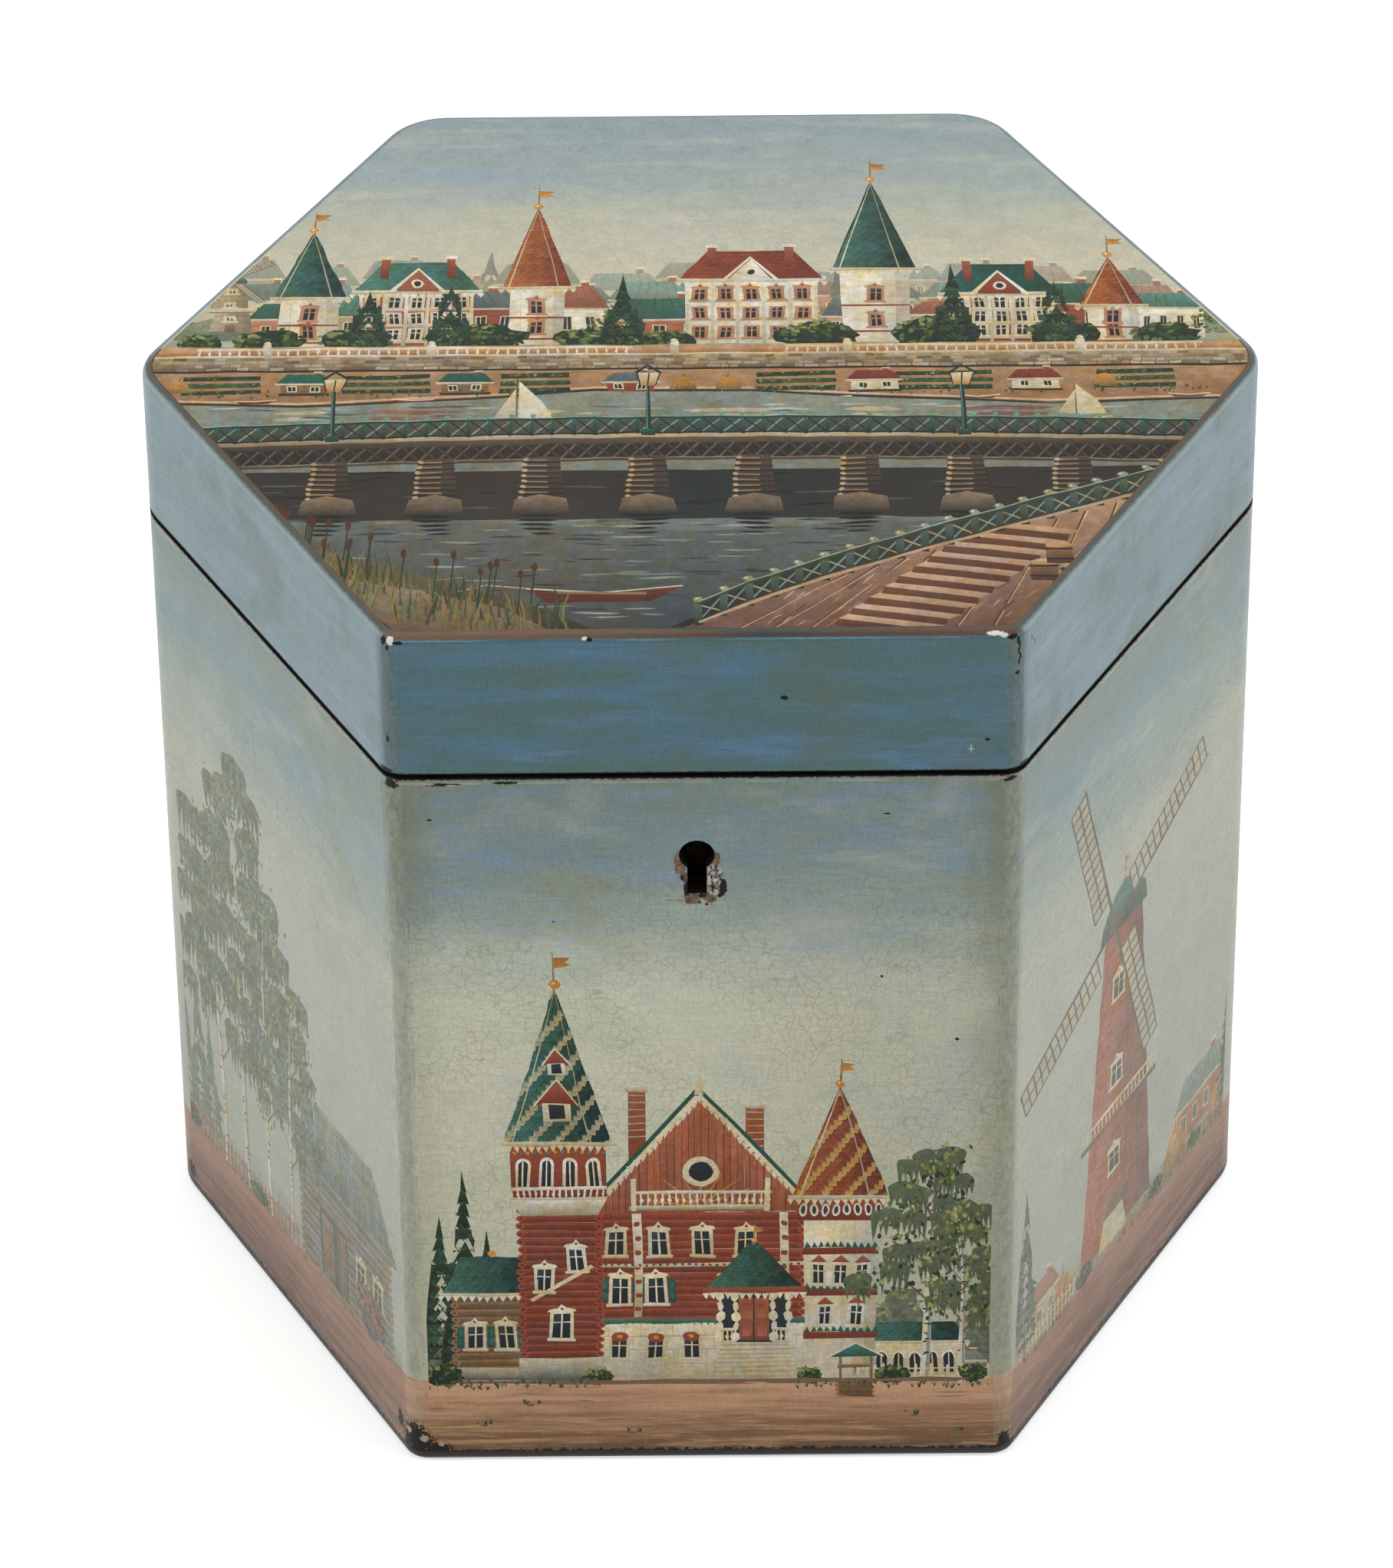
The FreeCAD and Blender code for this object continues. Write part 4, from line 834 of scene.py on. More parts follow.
def vane(c, u, v, tall):
    """A gilded ball, spindle and pennant."""
    line(c, [(u, v), (u, v + tall)], 0.28, OCHRE * 0.8, 0.1)
    dab(c, u, v + tall * 0.22, tall * 0.24, GOLD, 0, 0.95)
    dab(c, u - 0.12, v + tall * 0.25, tall * 0.09, WHITE * 0.95, 0.6, 0.7)
    c.paint([(u, v + tall * 0.6), (u + tall * 0.34, v + tall * 0.66), (u + tall * 0.22, v + tall * 0.74),
             (u + tall * 0.34, v + tall * 0.84), (u, v + tall * 0.86)], GOLD, GOLD * 0.6)


def tent(c, u, v, wide, tall, lit=SEA, dark=DEEP_TEAL, size=1, accent=None, finial=5):
    """A steep tented roof on a moulded cornice, with its vane."""
    half = wide / 2
    shingles(c, [(u - half, v), (u + half, v), (u + 0.18, v + tall), (u - 0.18, v + tall)], lit, dark, size, accent)
    for x in (-0.42, 0.3):
        line(c, [(u + x * wide, v), (u, v + tall)], 0.2, CREAM * (0.9 if x < 0 else 0.6), 0.06)
    box(c, u - half - 0.5, v - 0.55, u + half + 0.5, v + 0.1, CREAM * 0.55, CREAM)
    lace(c, (u - half - 0.2, v - 0.55), (u + half + 0.2, v - 0.55), 0.85, 0.8, CREAM)
    vane(c, u, v + tall - 0.2, finial)


def gable(c, u0, u1, v, peak, wall, barge=CREAM):
    """A boarded gable with a carved bargeboard, a round window and sun rays."""
    u = (u0 + u1) / 2
    planks(c, [(u0, v), (u1, v), (u, peak)], wall * 0.8, wall * 1.15, 0.8)
    for i in range(9):
        a = math.pi * (i + 0.5) / 9
        reach = (peak - v) * 0.4
        line(c, [(u + 0.8 * math.cos(a), v + 0.9 + 0.8 * math.sin(a)),
                 (u + reach * math.cos(a), v + 0.9 + reach * 0.75 * math.sin(a))], 0.28, GOLD, 0.1)
    mass(c, u, v + (peak - v) * 0.36, (peak - v) * 0.26, (peak - v) * 0.26, CREAM, CREAM, 0, 14)
    mass(c, u, v + (peak - v) * 0.36, (peak - v) * 0.17, (peak - v) * 0.17, PANE, PANE * 2.5, 0, 12)
    for a, b in (((u0 - 1.2, v - 0.5), (u, peak + 0.9)), ((u, peak + 0.9), (u1 + 1.2, v - 0.5))):
        line(c, [a, b], 1.25, TEAL * 0.8)
        line(c, [(a[0], a[1] - 0.35), (b[0], b[1] - 0.35)], 0.55, barge)
        lace(c, (a[0], a[1] - 0.5), (b[0], b[1] - 0.5), 1.05, 0.95, barge)
    c.paint([(u - 0.5, peak + 0.6), (u + 0.5, peak + 0.6), (u + 0.28, peak + 2.6), (u, peak + 3.3),
             (u - 0.28, peak + 2.6)],
            CREAM * 0.8, CREAM)


def rail(c, u0, u1, v, tall, colour=CREAM, step=0.75):
    """A balustrade of turned posts."""
    x = u0
    while x < u1:
        box(c, x, v, x + 0.22, v + tall, colour * 0.75, colour)
        dab(c, x + 0.11, v + tall * 0.45, tall * 0.42, colour, math.pi / 2, 0.55)
        x += step
    box(c, u0 - 0.2, v + tall - 0.1, u1 + 0.2, v + tall + 0.35, colour * 0.7, colour * 1.1)
    box(c, u0 - 0.2, v - 0.2, u1 + 0.2, v + 0.12, colour * 0.6, colour)


def fence(c, u0, u1, v, tall, colour, step=1, cover=1):
    """A picket fence."""
    for level in (0.28, 0.72):
        box(c, u0, v + tall * level, u1, v + tall * level + 0.22, colour * 0.7, colour, cover=cover)
    x = u0
    while x < u1:
        h = tall * c.between(0.92, 1.06)
        c.paint([(x, v), (x + step * 0.42, v), (x + step * 0.42, v + h - 0.3), (x + step * 0.21, v + h),
                 (x, v + h - 0.3)], colour * 0.68, colour * c.between(0.95, 1.15), cover=cover)
        x += step


def cottage(c, u, v, wide, tall, roof, wall, cap, windows=3, trim=CREAM, cover=1, chimney=True):
    """A small house seen from its long side."""
    half = wide / 2
    box(c, u - half, v, u + half, v + tall, wall * 0.78, wall * 1.08, across=0.6, cover=cover)
    for k in range(1, 4):
        box(c, u - half, v + tall * k / 4, u + half, v + tall * k / 4 + 0.09, wall * 0.55, cover=cover)
    for i in range(windows):
        x = u - half + wide * (i + 0.5) / windows
        w, h = min(wide / windows * 0.34, tall * 0.4), tall * 0.42
        box(c, x - w / 2 - 0.16, v + tall * 0.3 - 0.16, x + w / 2 + 0.16, v + tall * 0.3 + h + 0.2, trim, cover=cover)
        box(c, x - w / 2, v + tall * 0.3, x + w / 2, v + tall * 0.3 + h, PANE, PANE * 2, cover=cover)
        box(c, x - 0.05, v + tall * 0.3, x + 0.05, v + tall * 0.3 + h, trim, cover=cover)
    over = wide * 0.06 + 0.3
    if chimney:
        x = u + half * 0.4
        box(c, x, v + tall + roof * 0.4, x + wide * 0.07 + 0.3, v + tall + roof * 1.25, BRICK * 0.8, RUST, cover=cover)
        box(c, x - 0.12, v + tall + roof * 1.2, x + wide * 0.07 + 0.42, v + tall + roof * 1.32, WHITE, cover=cover)
    top = [(u - half - over, v + tall), (u + half + over, v + tall), (u + half - wide * 0.12, v + tall + roof),
           (u - half + wide * 0.12, v + tall + roof)]
    c.paint(top, cap * 0.8, cap * 1.25, upright=0.6, cover=cover)
    for i in range(int(wide / 1.1)):
        t = (i + 0.5) / int(wide / 1.1)
        line(c, [(top[0][0] + (top[1][0] - top[0][0]) * t, top[0][1]),
                 (top[3][0] + (top[2][0] - top[3][0]) * t, top[3][1])],
             0.1, cap * 0.6, cover=cover)
    box(c, u - half - over, v + tall - 0.3, u + half + over, v + tall + 0.12, trim * 0.6, trim, cover=cover)


def hills(c, u0, u1, v, high, low, top, seed=0, cover=0.7, **more):
    """Far rising ground with a soft outline."""
    crest, x = [], u1
    while x > u0:
        wave = 0.5 + 0.28 * math.sin(x * 0.09 + seed) + 0.17 * math.sin(x * 0.23 + 2 * seed) + c.between(-0.03, 0.03)
        crest.append((x, v + high * wave))
        x -= 2
    c.paint([(u0, v), (u1, v)] + crest + [(u0, v + high * 0.4)], low, top, cover=cover, **more)


def wood_edge(c, u0, u1, v, high, tones, cover=0.8, step=1):
    """A far wood, crown beside crown."""
    x = u0
    while x < u1:
        h = high * c.between(0.6, 1.1)
        tone = c.one_of(tones)
        if c.random.random() < 0.35:
            c.paint([(x - step * 0.5, v), (x + step * 0.7, v), (x + step * 0.1, v + h * 1.3)], tone * 0.85, tone,
                    cover=cover, leaf=0.5)
        else:
            mass(c, x, v + h * 0.5, step * 2, h, tone * 0.8, tone * 1.15, 0.14, 10, cover=cover, leaf=0.5)
        x += step


def haystack(c, u, v, wide, tall, cover=1):
    half = wide / 2
    c.paint([(u - half, v), (u + half, v), (u + half * 0.96, v + tall * 0.4), (u + half * 0.5, v + tall * 0.85),
             (u, v + tall), (u - half * 0.5, v + tall * 0.85), (u - half * 0.96, v + tall * 0.4)],
            OCHRE * 0.55, GOLD * 0.95, upright=0.8, cover=cover)
    for _ in range(int(wide * 6)):
        x, t = c.between(-0.85, 0.85), c.between(0.05, 0.8)
        x *= math.sqrt(1 - t * 0.9)
        dab(c, u + x * half, v + t * tall, tall * 0.22, (GOLD if x < 0.1 else OCHRE) * c.between(0.6, 1.25),
            math.pi / 2 + x * 0.6, 0.14, cover=cover)
    line(c, [(u, v + tall * 0.95), (u + 0.15, v + tall * 1.2)], 0.18, LOG * 0.6, cover=cover)


def boat(c, u, v, long, hull, sail=None):
    """A rowing boat, or one with a sail."""
    c.paint([(u - long * 0.5, v + long * 0.16), (u - long * 0.36, v), (u + long * 0.32, v),
             (u + long * 0.52, v + long * 0.18),
             (u + long * 0.3, v + long * 0.12), (u - long * 0.3, v + long * 0.11)], hull * 0.5, hull)
    line(c, [(u - long * 0.5, v + long * 0.16), (u, v + long * 0.11), (u + long * 0.52, v + long * 0.18)], 0.22, CREAM)
    if sail:
        line(c, [(u, v + long * 0.1), (u, v + long * 1.1)], 0.22, LOG * 0.6, 0.1)
        c.paint([(u + 0.15, v + long * 0.22), (u + long * 0.42, v + long * 0.26), (u + long * 0.3, v + long * 0.6),
                 (u + 0.12, v + long * 1.05)], sail * 0.75, sail)
        c.paint([(u - 0.15, v + long * 0.24), (u - long * 0.26, v + long * 0.28), (u - 0.12, v + long * 0.9)],
                sail * 0.6, sail * 0.9)


def windmill(c, u, v, tall, wide, wall=BRICK, cover=1, turn=0.35):
    """A tapering boarded mill with a cap, a gallery and four lattice sails."""
    half = wide / 2
    rows = max(6, int(tall / 1.5))
    for k in range(rows):
        a, b = k / rows, (k + 1) / rows
        ha, hb = half * (1 - 0.48 * a), half * (1 - 0.48 * b)
        for i in range(5):
            s, e = -1 + 0.4 * i, -0.6 + 0.4 * i
            tone = wall * ((1.3, 1.12, 0.95, 0.76, 0.6)[i] * c.between(0.93, 1.07))
            c.paint([(u + s * ha, v + a * tall), (u + e * ha, v + a * tall), (u + e * hb, v + b * tall),
                     (u + s * hb, v + b * tall)], tone * 0.8, tone * 1.1, upright=0.6, cover=cover)
    for k in (0.22, 0.5, 0.78):
        window(c, u - half * 0.1, v + tall * k, wide * 0.13, tall * 0.06, CREAM, crest=tall > 30)
    box(c, u - half * 0.28, v, u + half * 0.2, v + tall * 0.13, LOG * 0.5, LOG * 0.8, upright=0.7, cover=cover)
    y = v + tall * 0.4
    rail(c, u - half * 1.02, u + half * 1.02, y, tall * 0.035, CREAM, tall * 0.022)
    box(c, u - half * 1.06, y - tall * 0.016, u + half * 1.06, y, LOG * 0.4, LOG * 0.9)
    crown = v + tall
    c.paint([(u - half * 0.66, crown - 0.3), (u + half * 0.66, crown - 0.3), (u + half * 0.6, crown + tall * 0.05),
             (u + half * 0.3, crown + tall * 0.11), (u, crown + tall * 0.135), (u - half * 0.3, crown + tall * 0.11),
             (u - half * 0.6, crown + tall * 0.05)], DEEP_TEAL * 0.9, SEA, sideways=False, cover=cover, upright=0.5)
    vane(c, u, crown + tall * 0.13, tall * 0.08)
    hub_u, hub_v = u - half * 0.25, crown + tall * 0.02
    for k in range(4):
        a = turn + k * math.pi / 2
        du, dv = math.cos(a), math.sin(a)
        long, broad = tall * 0.56, tall * 0.085
        pu, pv = -dv, du

        def at(r, s):
            return hub_u + du * r + pu * s, hub_v + dv * r + pv * s
        c.paint([at(long * 0.2, 0.1), at(long, 0.1), at(long, broad), at(long * 0.2, broad)],
                CREAM * 0.55, CREAM * 0.82, cover=cover * 0.5)
        for i in range(14):
            r = long * (0.2 + 0.8 * i / 13)
            line(c, [at(r, 0), at(r, broad)], tall * 0.006 + 0.05, LOG * 0.45, cover=cover)
        for s in (0, broad * 0.5, broad):
            line(c, [at(long * 0.2, s), at(long, s)], tall * 0.005 + 0.06, LOG * 0.5, cover=cover)
        line(c, [at(0, 0), at(long * 1.02, 0)], tall * 0.014, LOG * 0.42, tall * 0.007, cover=cover)
    dab(c, hub_u, hub_v, tall * 0.045, LOG * 0.5, 0, 1)


def ripples(c, u0, u1, v0, v1, number, tones, size=3, cover=1):
    """Level touches of light and dark on water."""
    for _ in range(number):
        u, v = c.between(u0, u1), c.between(v0, v1)
        dab(c, u, v, size * c.between(0.4, 1.3), c.one_of(tones),
            c.between(-0.03, 0.03), 0.07, cover=cover)


def grass(c, u0, u1, v0, v1, number, tones, size=0.9):
    """Tufts of grass."""
    for _ in range(number):
        u, v = c.between(u0, u1), c.between(v0, v1)
        for lean in (-0.35, 0, 0.3):
            tone = c.one_of(tones)
            line(c, [(u, v), (u + lean * size, v + size * c.between(0.6, 1.2))], 0.16, tone, 0.04)


# pictures
EARTH = ["#b3957a", "#7d6450", "#95785f"]


def earth(c, number, half, top, tones=EARTH, tilt=None, cover=0.7):
    """Level touches on the ground before a picture."""
    for _ in range(number):
        u, v, long, tone = c.between(-half, half), c.between(2.2, top), c.between(1, 5), c.one_of(tones)
        dab(c, u, v, long, tone, c.between(-tilt, tilt) if tilt else 0, 0.05, cover=cover)


def far_country(c, u0, u1, v=GROUND, seed=0, cover=0.55):
    """Soft hills and a wood far behind."""
    hills(c, u0, u1, v - 0.1, 6.5, "#8c9388", "#a0aaa2", seed, cover * 0.8)
    hills(c, u0, u1, v - 0.1, 3.8, "#78836f", "#8f9a88", seed + 2, cover)
    wood_edge(c, u0, u1, v - 0.1, 3, [srgb("#6b7a66"), srgb("#5f7060"), srgb("#7f8a70")], cover, 1.3)


def carved_house(c):
    """The tall carved house on the front: wing, stair tower, gabled hall, porch and corner tower."""
    g = GROUND - 0.2
    for x, h in ((-31, 24), (-28.2, 31), (-25.6, 22)):
        spruce(c, x, g, h, 5.4)
    box(c, 19, g, 29.5, g + 5.4, CREAM * 0.62, CREAM * 0.95, across=0.4)
    for i in range(5):
        x = 20.2 + i * 2
        mass(c, x, g + 3.1, 1.25, 1.3, PANE, PANE, 0, 12)
        box(c, x - 0.62, g + 0.8, x + 0.62, g + 3.1, PANE, PANE * 1.6)
        line(c, [(x - 0.75, g + 3), (x - 0.5, g + 3.65), (x, g + 3.95), (x + 0.5, g + 3.65), (x + 0.75, g + 3)],
             0.22, WHITE)
        box(c, x - 0.08, g + 0.8, x + 0.08, g + 3.6, CREAM * 0.9)
    shingles(c, [(18.2, g + 5.4), (30.2, g + 5.4), (28.8, g + 8.4), (19.4, g + 8.4)], SEA, DEEP_TEAL, 0.75)
    box(c, 18, g + 5.1, 30.4, g + 5.6, CREAM * 0.6, CREAM)
    lace(c, (18.2, g + 5.1), (30.2, g + 5.1), 0.8, 0.6, CREAM)
    for x, y in ((-9, 41), (4.6, 38.5)):
        box(c, x, g + y - 12, x + 2, g + y + 2, BRICK * 0.75, RUST, across=0.4)
        for k in range(7):
            box(c, x, g + y - 5 + k, x + 2, g + y - 4.86 + k, CREAM * 0.7)
        box(c, x - 0.35, g + y + 1.6, x + 2.35, g + y + 2.5, CREAM * 0.6, WHITE)
    # the low wing
    logs(c, -29.5, g, -21, g + 13, LOG, 1.1)
    for x in (-27.2, -23.6):
        window(c, x, g + 5, 1.7, 3.2, CREAM, shutters=TEAL)
    box(c, -29.9, g, -20.8, g + 1.9, SLATE * 0.6, CREAM * 0.8, across=0.6)
    shingles(c, [(-31, g + 13), (-20.4, g + 13), (-21.4, g + 18.6), (-28.6, g + 18.6)], SEA, DEEP_TEAL, 0.9)
    box(c, -31.2, g + 12.7, -20.2, g + 13.25, CREAM * 0.6, CREAM)
    lace(c, (-31, g + 12.7), (-20.4, g + 12.7), 0.85, 0.8, WHITE)
    dab(c, -25, g + 19, 1, GOLD, 0, 1)
    # the gabled hall
    logs(c, -12.5, g + 8.5, 11, g + 25, TERRACOTTA, 1.12)
    box(c, -13, g, 11.5, g + 8.6, CREAM * 0.66, WHITE, across=0.25)
    for k in range(4):
        for i in range(13):
            x = -12.6 + i * 1.9 + (k % 2) * 0.9
            line(c, [(x, g + 0.6 + k * 2), (x, g + 2.4 + k * 2)], 0.08, CREAM * 0.62)
        box(c, -13, g + 0.5 + k * 2, 11.5, g + 0.62 + k * 2, CREAM * 0.62)
    for x in (-10.4, -6.2, -2):
        window(c, x, g + 3.4, 1.7, 2.7, CREAM * 0.95, crest=False)
        mass(c, x, g + 6.4, 2, 1.5, TERRACOTTA, TERRACOTTA * 1.2, 0, 12)
        dab(c, x, g + 6.5, 0.7, GOLD, 0, 0.9)
    box(c, -13.4, g + 8.3, 11.9, g + 9.2, TEAL * 0.7, SEA)
    lace(c, (-13.2, g + 8.4), (11.7, g + 8.4), 0.8, 0.75, WHITE)
    for x in (-10.2, -6, 2.6, 7.4):
        window(c, x, g + 11.6, 1.8, 3.6, WHITE, shutters=TEAL if x < 0 else None)
    for x in (-8.1, 8.9):
        box(c, x - 0.5, g + 9.4, x + 0.5, g + 24.8, CREAM * 0.62, WHITE)
        for k in range(7):
            dab(c, x, g + 10.6 + k * 2.1, 0.85, TERRACOTTA, math.pi / 4, 0.95)
    for x in (-10.6, -5.6, -0.6, 4.4):
        window(c, x, g + 18.8, 1.7, 3.3, CREAM)
    box(c, -13.2, g + 17, 11.7, g + 17.5, CREAM * 0.6, WHITE)
    for i in range(31):
        dab(c, -12.6 + i * 0.8, g + 17.25, 0.42, (TERRACOTTA, TEAL)[i % 2], 0, 0.9)
    gable(c, -13.4, 11.9, g + 25, g + 41.5, RUST)
    box(c, -9, g + 25.2, 7.4, g + 25.9, LOG * 0.6, CREAM)
    rail(c, -8.6, 7.2, g + 25.9, 1.9, WHITE, 0.82)
    for x in (-8.4, 7):
        line(c, [(x, g + 25.2), (x, g + 30)], 0.6, CREAM)
    # the stair tower with its tented roof
    logs(c, -21.6, g, -12.6, g + 27, TERRACOTTA * 0.88, 1.12)
    box(c, -22.2, g, -12.2, g + 3.4, SLATE * 0.7, CREAM * 0.9, across=0.6)
    window(c, -17.1, g + 6.4, 2, 3.6, WHITE)
    window(c, -19, g + 13.6, 1.5, 3, WHITE)
    window(c, -15.2, g + 16.6, 1.5, 3, WHITE)
    line(c, [(-20.6, g + 12), (-13.4, g + 17.2)], 0.45, CREAM)
    c.paint([(-22.6, g + 27), (-11.6, g + 27), (-12.6, g + 24.6), (-21.6, g + 24.6)], CREAM * 0.5, WHITE)
    box(c, -22.6, g + 27, -11.6, g + 35, BRICK * 0.9, TERRACOTTA * 1.15, across=0.3)
    for i in range(4):
        x = -21.2 + i * 2.73
        box(c, x - 0.85, g + 28.6, x + 0.85, g + 32.2, CREAM * 0.8, WHITE)
        mass(c, x, g + 32.2, 1.7, 1.9, WHITE, WHITE, 0, 14)
        box(c, x - 0.52, g + 28.9, x + 0.52, g + 32.1, PANE, PANE * 2.4)
        mass(c, x, g + 32.1, 1.04, 1.2, PANE * 2.2, PANE * 2.4, 0, 12)
        box(c, x - 0.08, g + 28.9, x + 0.08, g + 32.6, WHITE)
    rail(c, -22.6, -11.8, g + 27.2, 1.3, WHITE, 0.7)
    for i in range(14):
        dab(c, -22.2 + i * 0.8, g + 33.9, 0.5, (GOLD, SEA)[i % 2], 0, 0.95)
    tent(c, -17.1, g + 35.3, 12.4, 21.5, SEA, DEEP_TEAL, 1, srgb("#c9c3a2"), 6)
    for y, w in ((g + 38.4, 2.6), (g + 45, 1.7)):
        c.paint([(-17.1 - w, y + w * 0.9), (-17.1, y + w * 2.3), (-17.1 + w, y + w * 0.9)], BRICK, RUST)
        box(c, -17.1 - w * 0.62, y, -17.1 + w * 0.62, y + w * 1, CREAM * 0.75, WHITE)
        box(c, -17.1 - w * 0.34, y + w * 0.15, -17.1 + w * 0.34, y + w * 0.95, PANE, DUSK)
        line(c, [(-17.1 - w, y + w * 0.85), (-17.1, y + w * 2.3)], 0.22, WHITE)
        line(c, [(-17.1, y + w * 2.3), (-17.1 + w, y + w * 0.85)], 0.22, CREAM)
    # the corner tower, striped in brick and plaster
    for i in range(6):
        x = 11.2 + i * 1.4
        box(c, x, g, x + 1.4, g + 24, CREAM * ((1, 1.05, 1, 0.9, 0.78, 0.66)[i] * 0.8),
            WHITE * (1, 1.05, 1, 0.9, 0.8, 0.7)[i])
    for y, tone in ((6, BRICK), (12.4, BRICK), (18.6, BRICK)):
        box(c, 11, g + y, 19.8, g + y + 1, tone * 0.8, tone * 1.2)
        for i in range(11):
            c.paint([(11.1 + i * 0.8, g + y + 1), (11.9 + i * 0.8, g + y + 1), (11.5 + i * 0.8, g + y + 1.9)], TEAL)
    for x, y in ((13.6, 8.2), (17.2, 8.2), (15.4, 14.4), (12.9, 14.4), (17.9, 14.4)):
        window(c, x, g + y, 1.2, 2.6, WHITE * 0.9, crest=False)
        c.paint([(x - 1, g + y + 3), (x + 1, g + y + 3), (x, g + y + 4.1)], TERRACOTTA, RUST)
    box(c, 10.4, g + 23.6, 20.4, g + 26.8, BRICK * 0.8, TERRACOTTA * 1.1)
    for i in range(8):
        x = 11.1 + i * 1.24
        mass(c, x, g + 25.2, 0.95, 1.9, WHITE, CREAM, 0, 10)
        mass(c, x, g + 25.2, 0.5, 1.3, DUSK, DUSK, 0, 8)
    tent(c, 15.4, g + 27.2, 11.2, 15.5, srgb("#b5653f"), srgb("#64312a"), 0.95, srgb("#d2b06a"), 4.6)
    # the porch with its flight of steps
    for k in range(8):
        box(c, 1.4 - k * 0.16, g + 5 - k * 0.68, 9.4 + k * 0.16, g + 5.7 - k * 0.68, CREAM * 0.5,
            CREAM * (1.05 - 0.03 * k))
    box(c, 1.6, g + 5.6, 9.2, g + 13.4, DUSK * 0.5, DUSK * 0.8)
    box(c, 3.7, g + 5.8, 7.1, g + 12.2, RUST * 0.6, RUST, upright=0.6)
    for x in (4.5, 6.3):
        for y in (6.4, 9.2):
            box(c, x - 0.55, g + y, x + 0.55, g + y + 2.2, RUST * 1.3, RUST * 0.7)
    line(c, [(5.4, g + 5.8), (5.4, g + 12.2)], 0.14, SHADOW)
    for x in (1.4, 3.2, 7.6, 9.4):
        for y, w in ((5.6, 1), (7.2, 0.62), (8.7, 1.02), (10.2, 0.62), (11.7, 0.95)):
            dab(c, x, g + y + 0.75, 1.75, WHITE * (1 if x < 6 else 0.82), math.pi / 2, w * 0.62)
    rail(c, 1.6, 3, g + 5.7, 1.7, CREAM, 0.55)
    rail(c, 7.8, 9.2, g + 5.7, 1.7, CREAM, 0.55)
    shingles(c, [(-0.2, g + 13.6), (11, g + 13.6), (5.9, g + 20.4), (4.9, g + 20.4)], SEA, DEEP_TEAL, 0.8)
    box(c, -0.5, g + 12.9, 11.3, g + 13.8, TERRACOTTA * 0.8, RUST)
    lace(c, (-0.2, g + 12.9), (11, g + 12.9), 0.8, 0.9, WHITE)
    vane(c, 5.4, g + 20, 3.2)


def front_picture(c):
    far_country(c, -33, 33, seed=0.4)
    for x, h in ((-32.4, 9), (20.4, 11), (22.6, 14), (31.6, 12)):
        bush(c, x, GROUND - 0.2, 6, h, [blend(n, HAZE_AND_SHEEN, 0.25) for n in LEAVES], int(h * 9), 0.8, 0.9)
    cottage(c, 29.6, GROUND, 5, 2.2, 1.6, srgb("#9a7a66"), srgb("#6e7a78"), 2, cover=0.8)
    carved_house(c)
    birch(c, 25.2, GROUND - 0.6, 34, 1.4, thick=1.1, number=230)
    birch(c, 29.8, GROUND - 1.2, 26, -1, thick=0.9, number=170)
    fence(c, 12.6, 32.6, GROUND - 1, 2.9, CREAM * 0.9, 0.95)
    for x, w, t in ((-31, 4.4, 3.2), (-13, 3.4, 2.2), (11.8, 3.2, 2.4), (21.5, 4, 2.6), (31, 3.4, 3)):
        bush(c, x, GROUND - 0.9, w, t, number=46, size=0.6)
    # the well
    box(c, 15.2, GROUND - 3, 19.2, GROUND - 0.2, LOG * 0.5, LOG, across=0.7)
    for k in range(4):
        box(c, 14.9, GROUND - 3 + 0.7 * k, 19.5, GROUND - 2.86 + 0.7 * k, LOG * 0.45)
        dab(c, 15, GROUND - 2.7 + 0.7 * k, 0.6, LOG * 1.3, 0, 1)
    for x in (15.4, 19):
        box(c, x - 0.16, GROUND - 3, x + 0.16, GROUND + 3.2, LOG * 0.6, LOG)
    box(c, 15.2, GROUND + 1.4, 19.2, GROUND + 1.9, LOG * 0.6, LOG * 1.3)
    line(c, [(17.2, GROUND + 1.4), (17.2, GROUND - 0.1)], 0.12, SHADOW)
    c.paint([(14, GROUND + 3), (20.4, GROUND + 3), (17.2, GROUND + 5.2)], TEAL * 0.7, SEA)
    line(c, [(14, GROUND + 3), (17.2, GROUND + 5.2), (20.4, GROUND + 3)], 0.3, CREAM)
    c.paint([(-30.5, GROUND - 0.2), (30.5, GROUND - 0.2), (29, GROUND - 0.75), (0, GROUND - 0.95), (-29, GROUND - 0.7)],
            "#5a4436", "#33261f", cover=0.75, across=1)
    # trodden ground and its edges
    earth(c, 90, 33, GROUND - 1.6, EARTH + ["#a68468"], 0.04, 0.75)
    for _ in range(70):
        t = c.random.random()
        half, v = 2.8 + 7 * t, GROUND - 0.7 - (GROUND - 2.6) * t
        u = 5.4 - 1.4 * t + c.between(-half, half)
        dab(c, u, v, c.between(1.5, 5), c.one_of(("#b59a7e", "#a5876c", "#c2a488")),
            c.between(-0.03, 0.03), 0.08, cover=0.4, across=0.5)
    grass(c, -33, -14, GROUND - 1.6, GROUND - 0.6, 46, LEAVES[1:4], 0.7)
    grass(c, 10, 33, GROUND - 1.8, GROUND - 1, 40, LEAVES[1:4], 0.7)
    for x, y in ((-21, 8.6), (-26.5, 5.4), (24, 6.6), (-9, 4.2), (29.5, 3.9)):
        mass(c, x, y, 1.1, 0.5, "#5f4c3e", "#8f7a66", 0.2, 9)
        grass(c, x - 1, x + 1, y, y + 0.2, 6, LEAVES[1:4], 0.6)


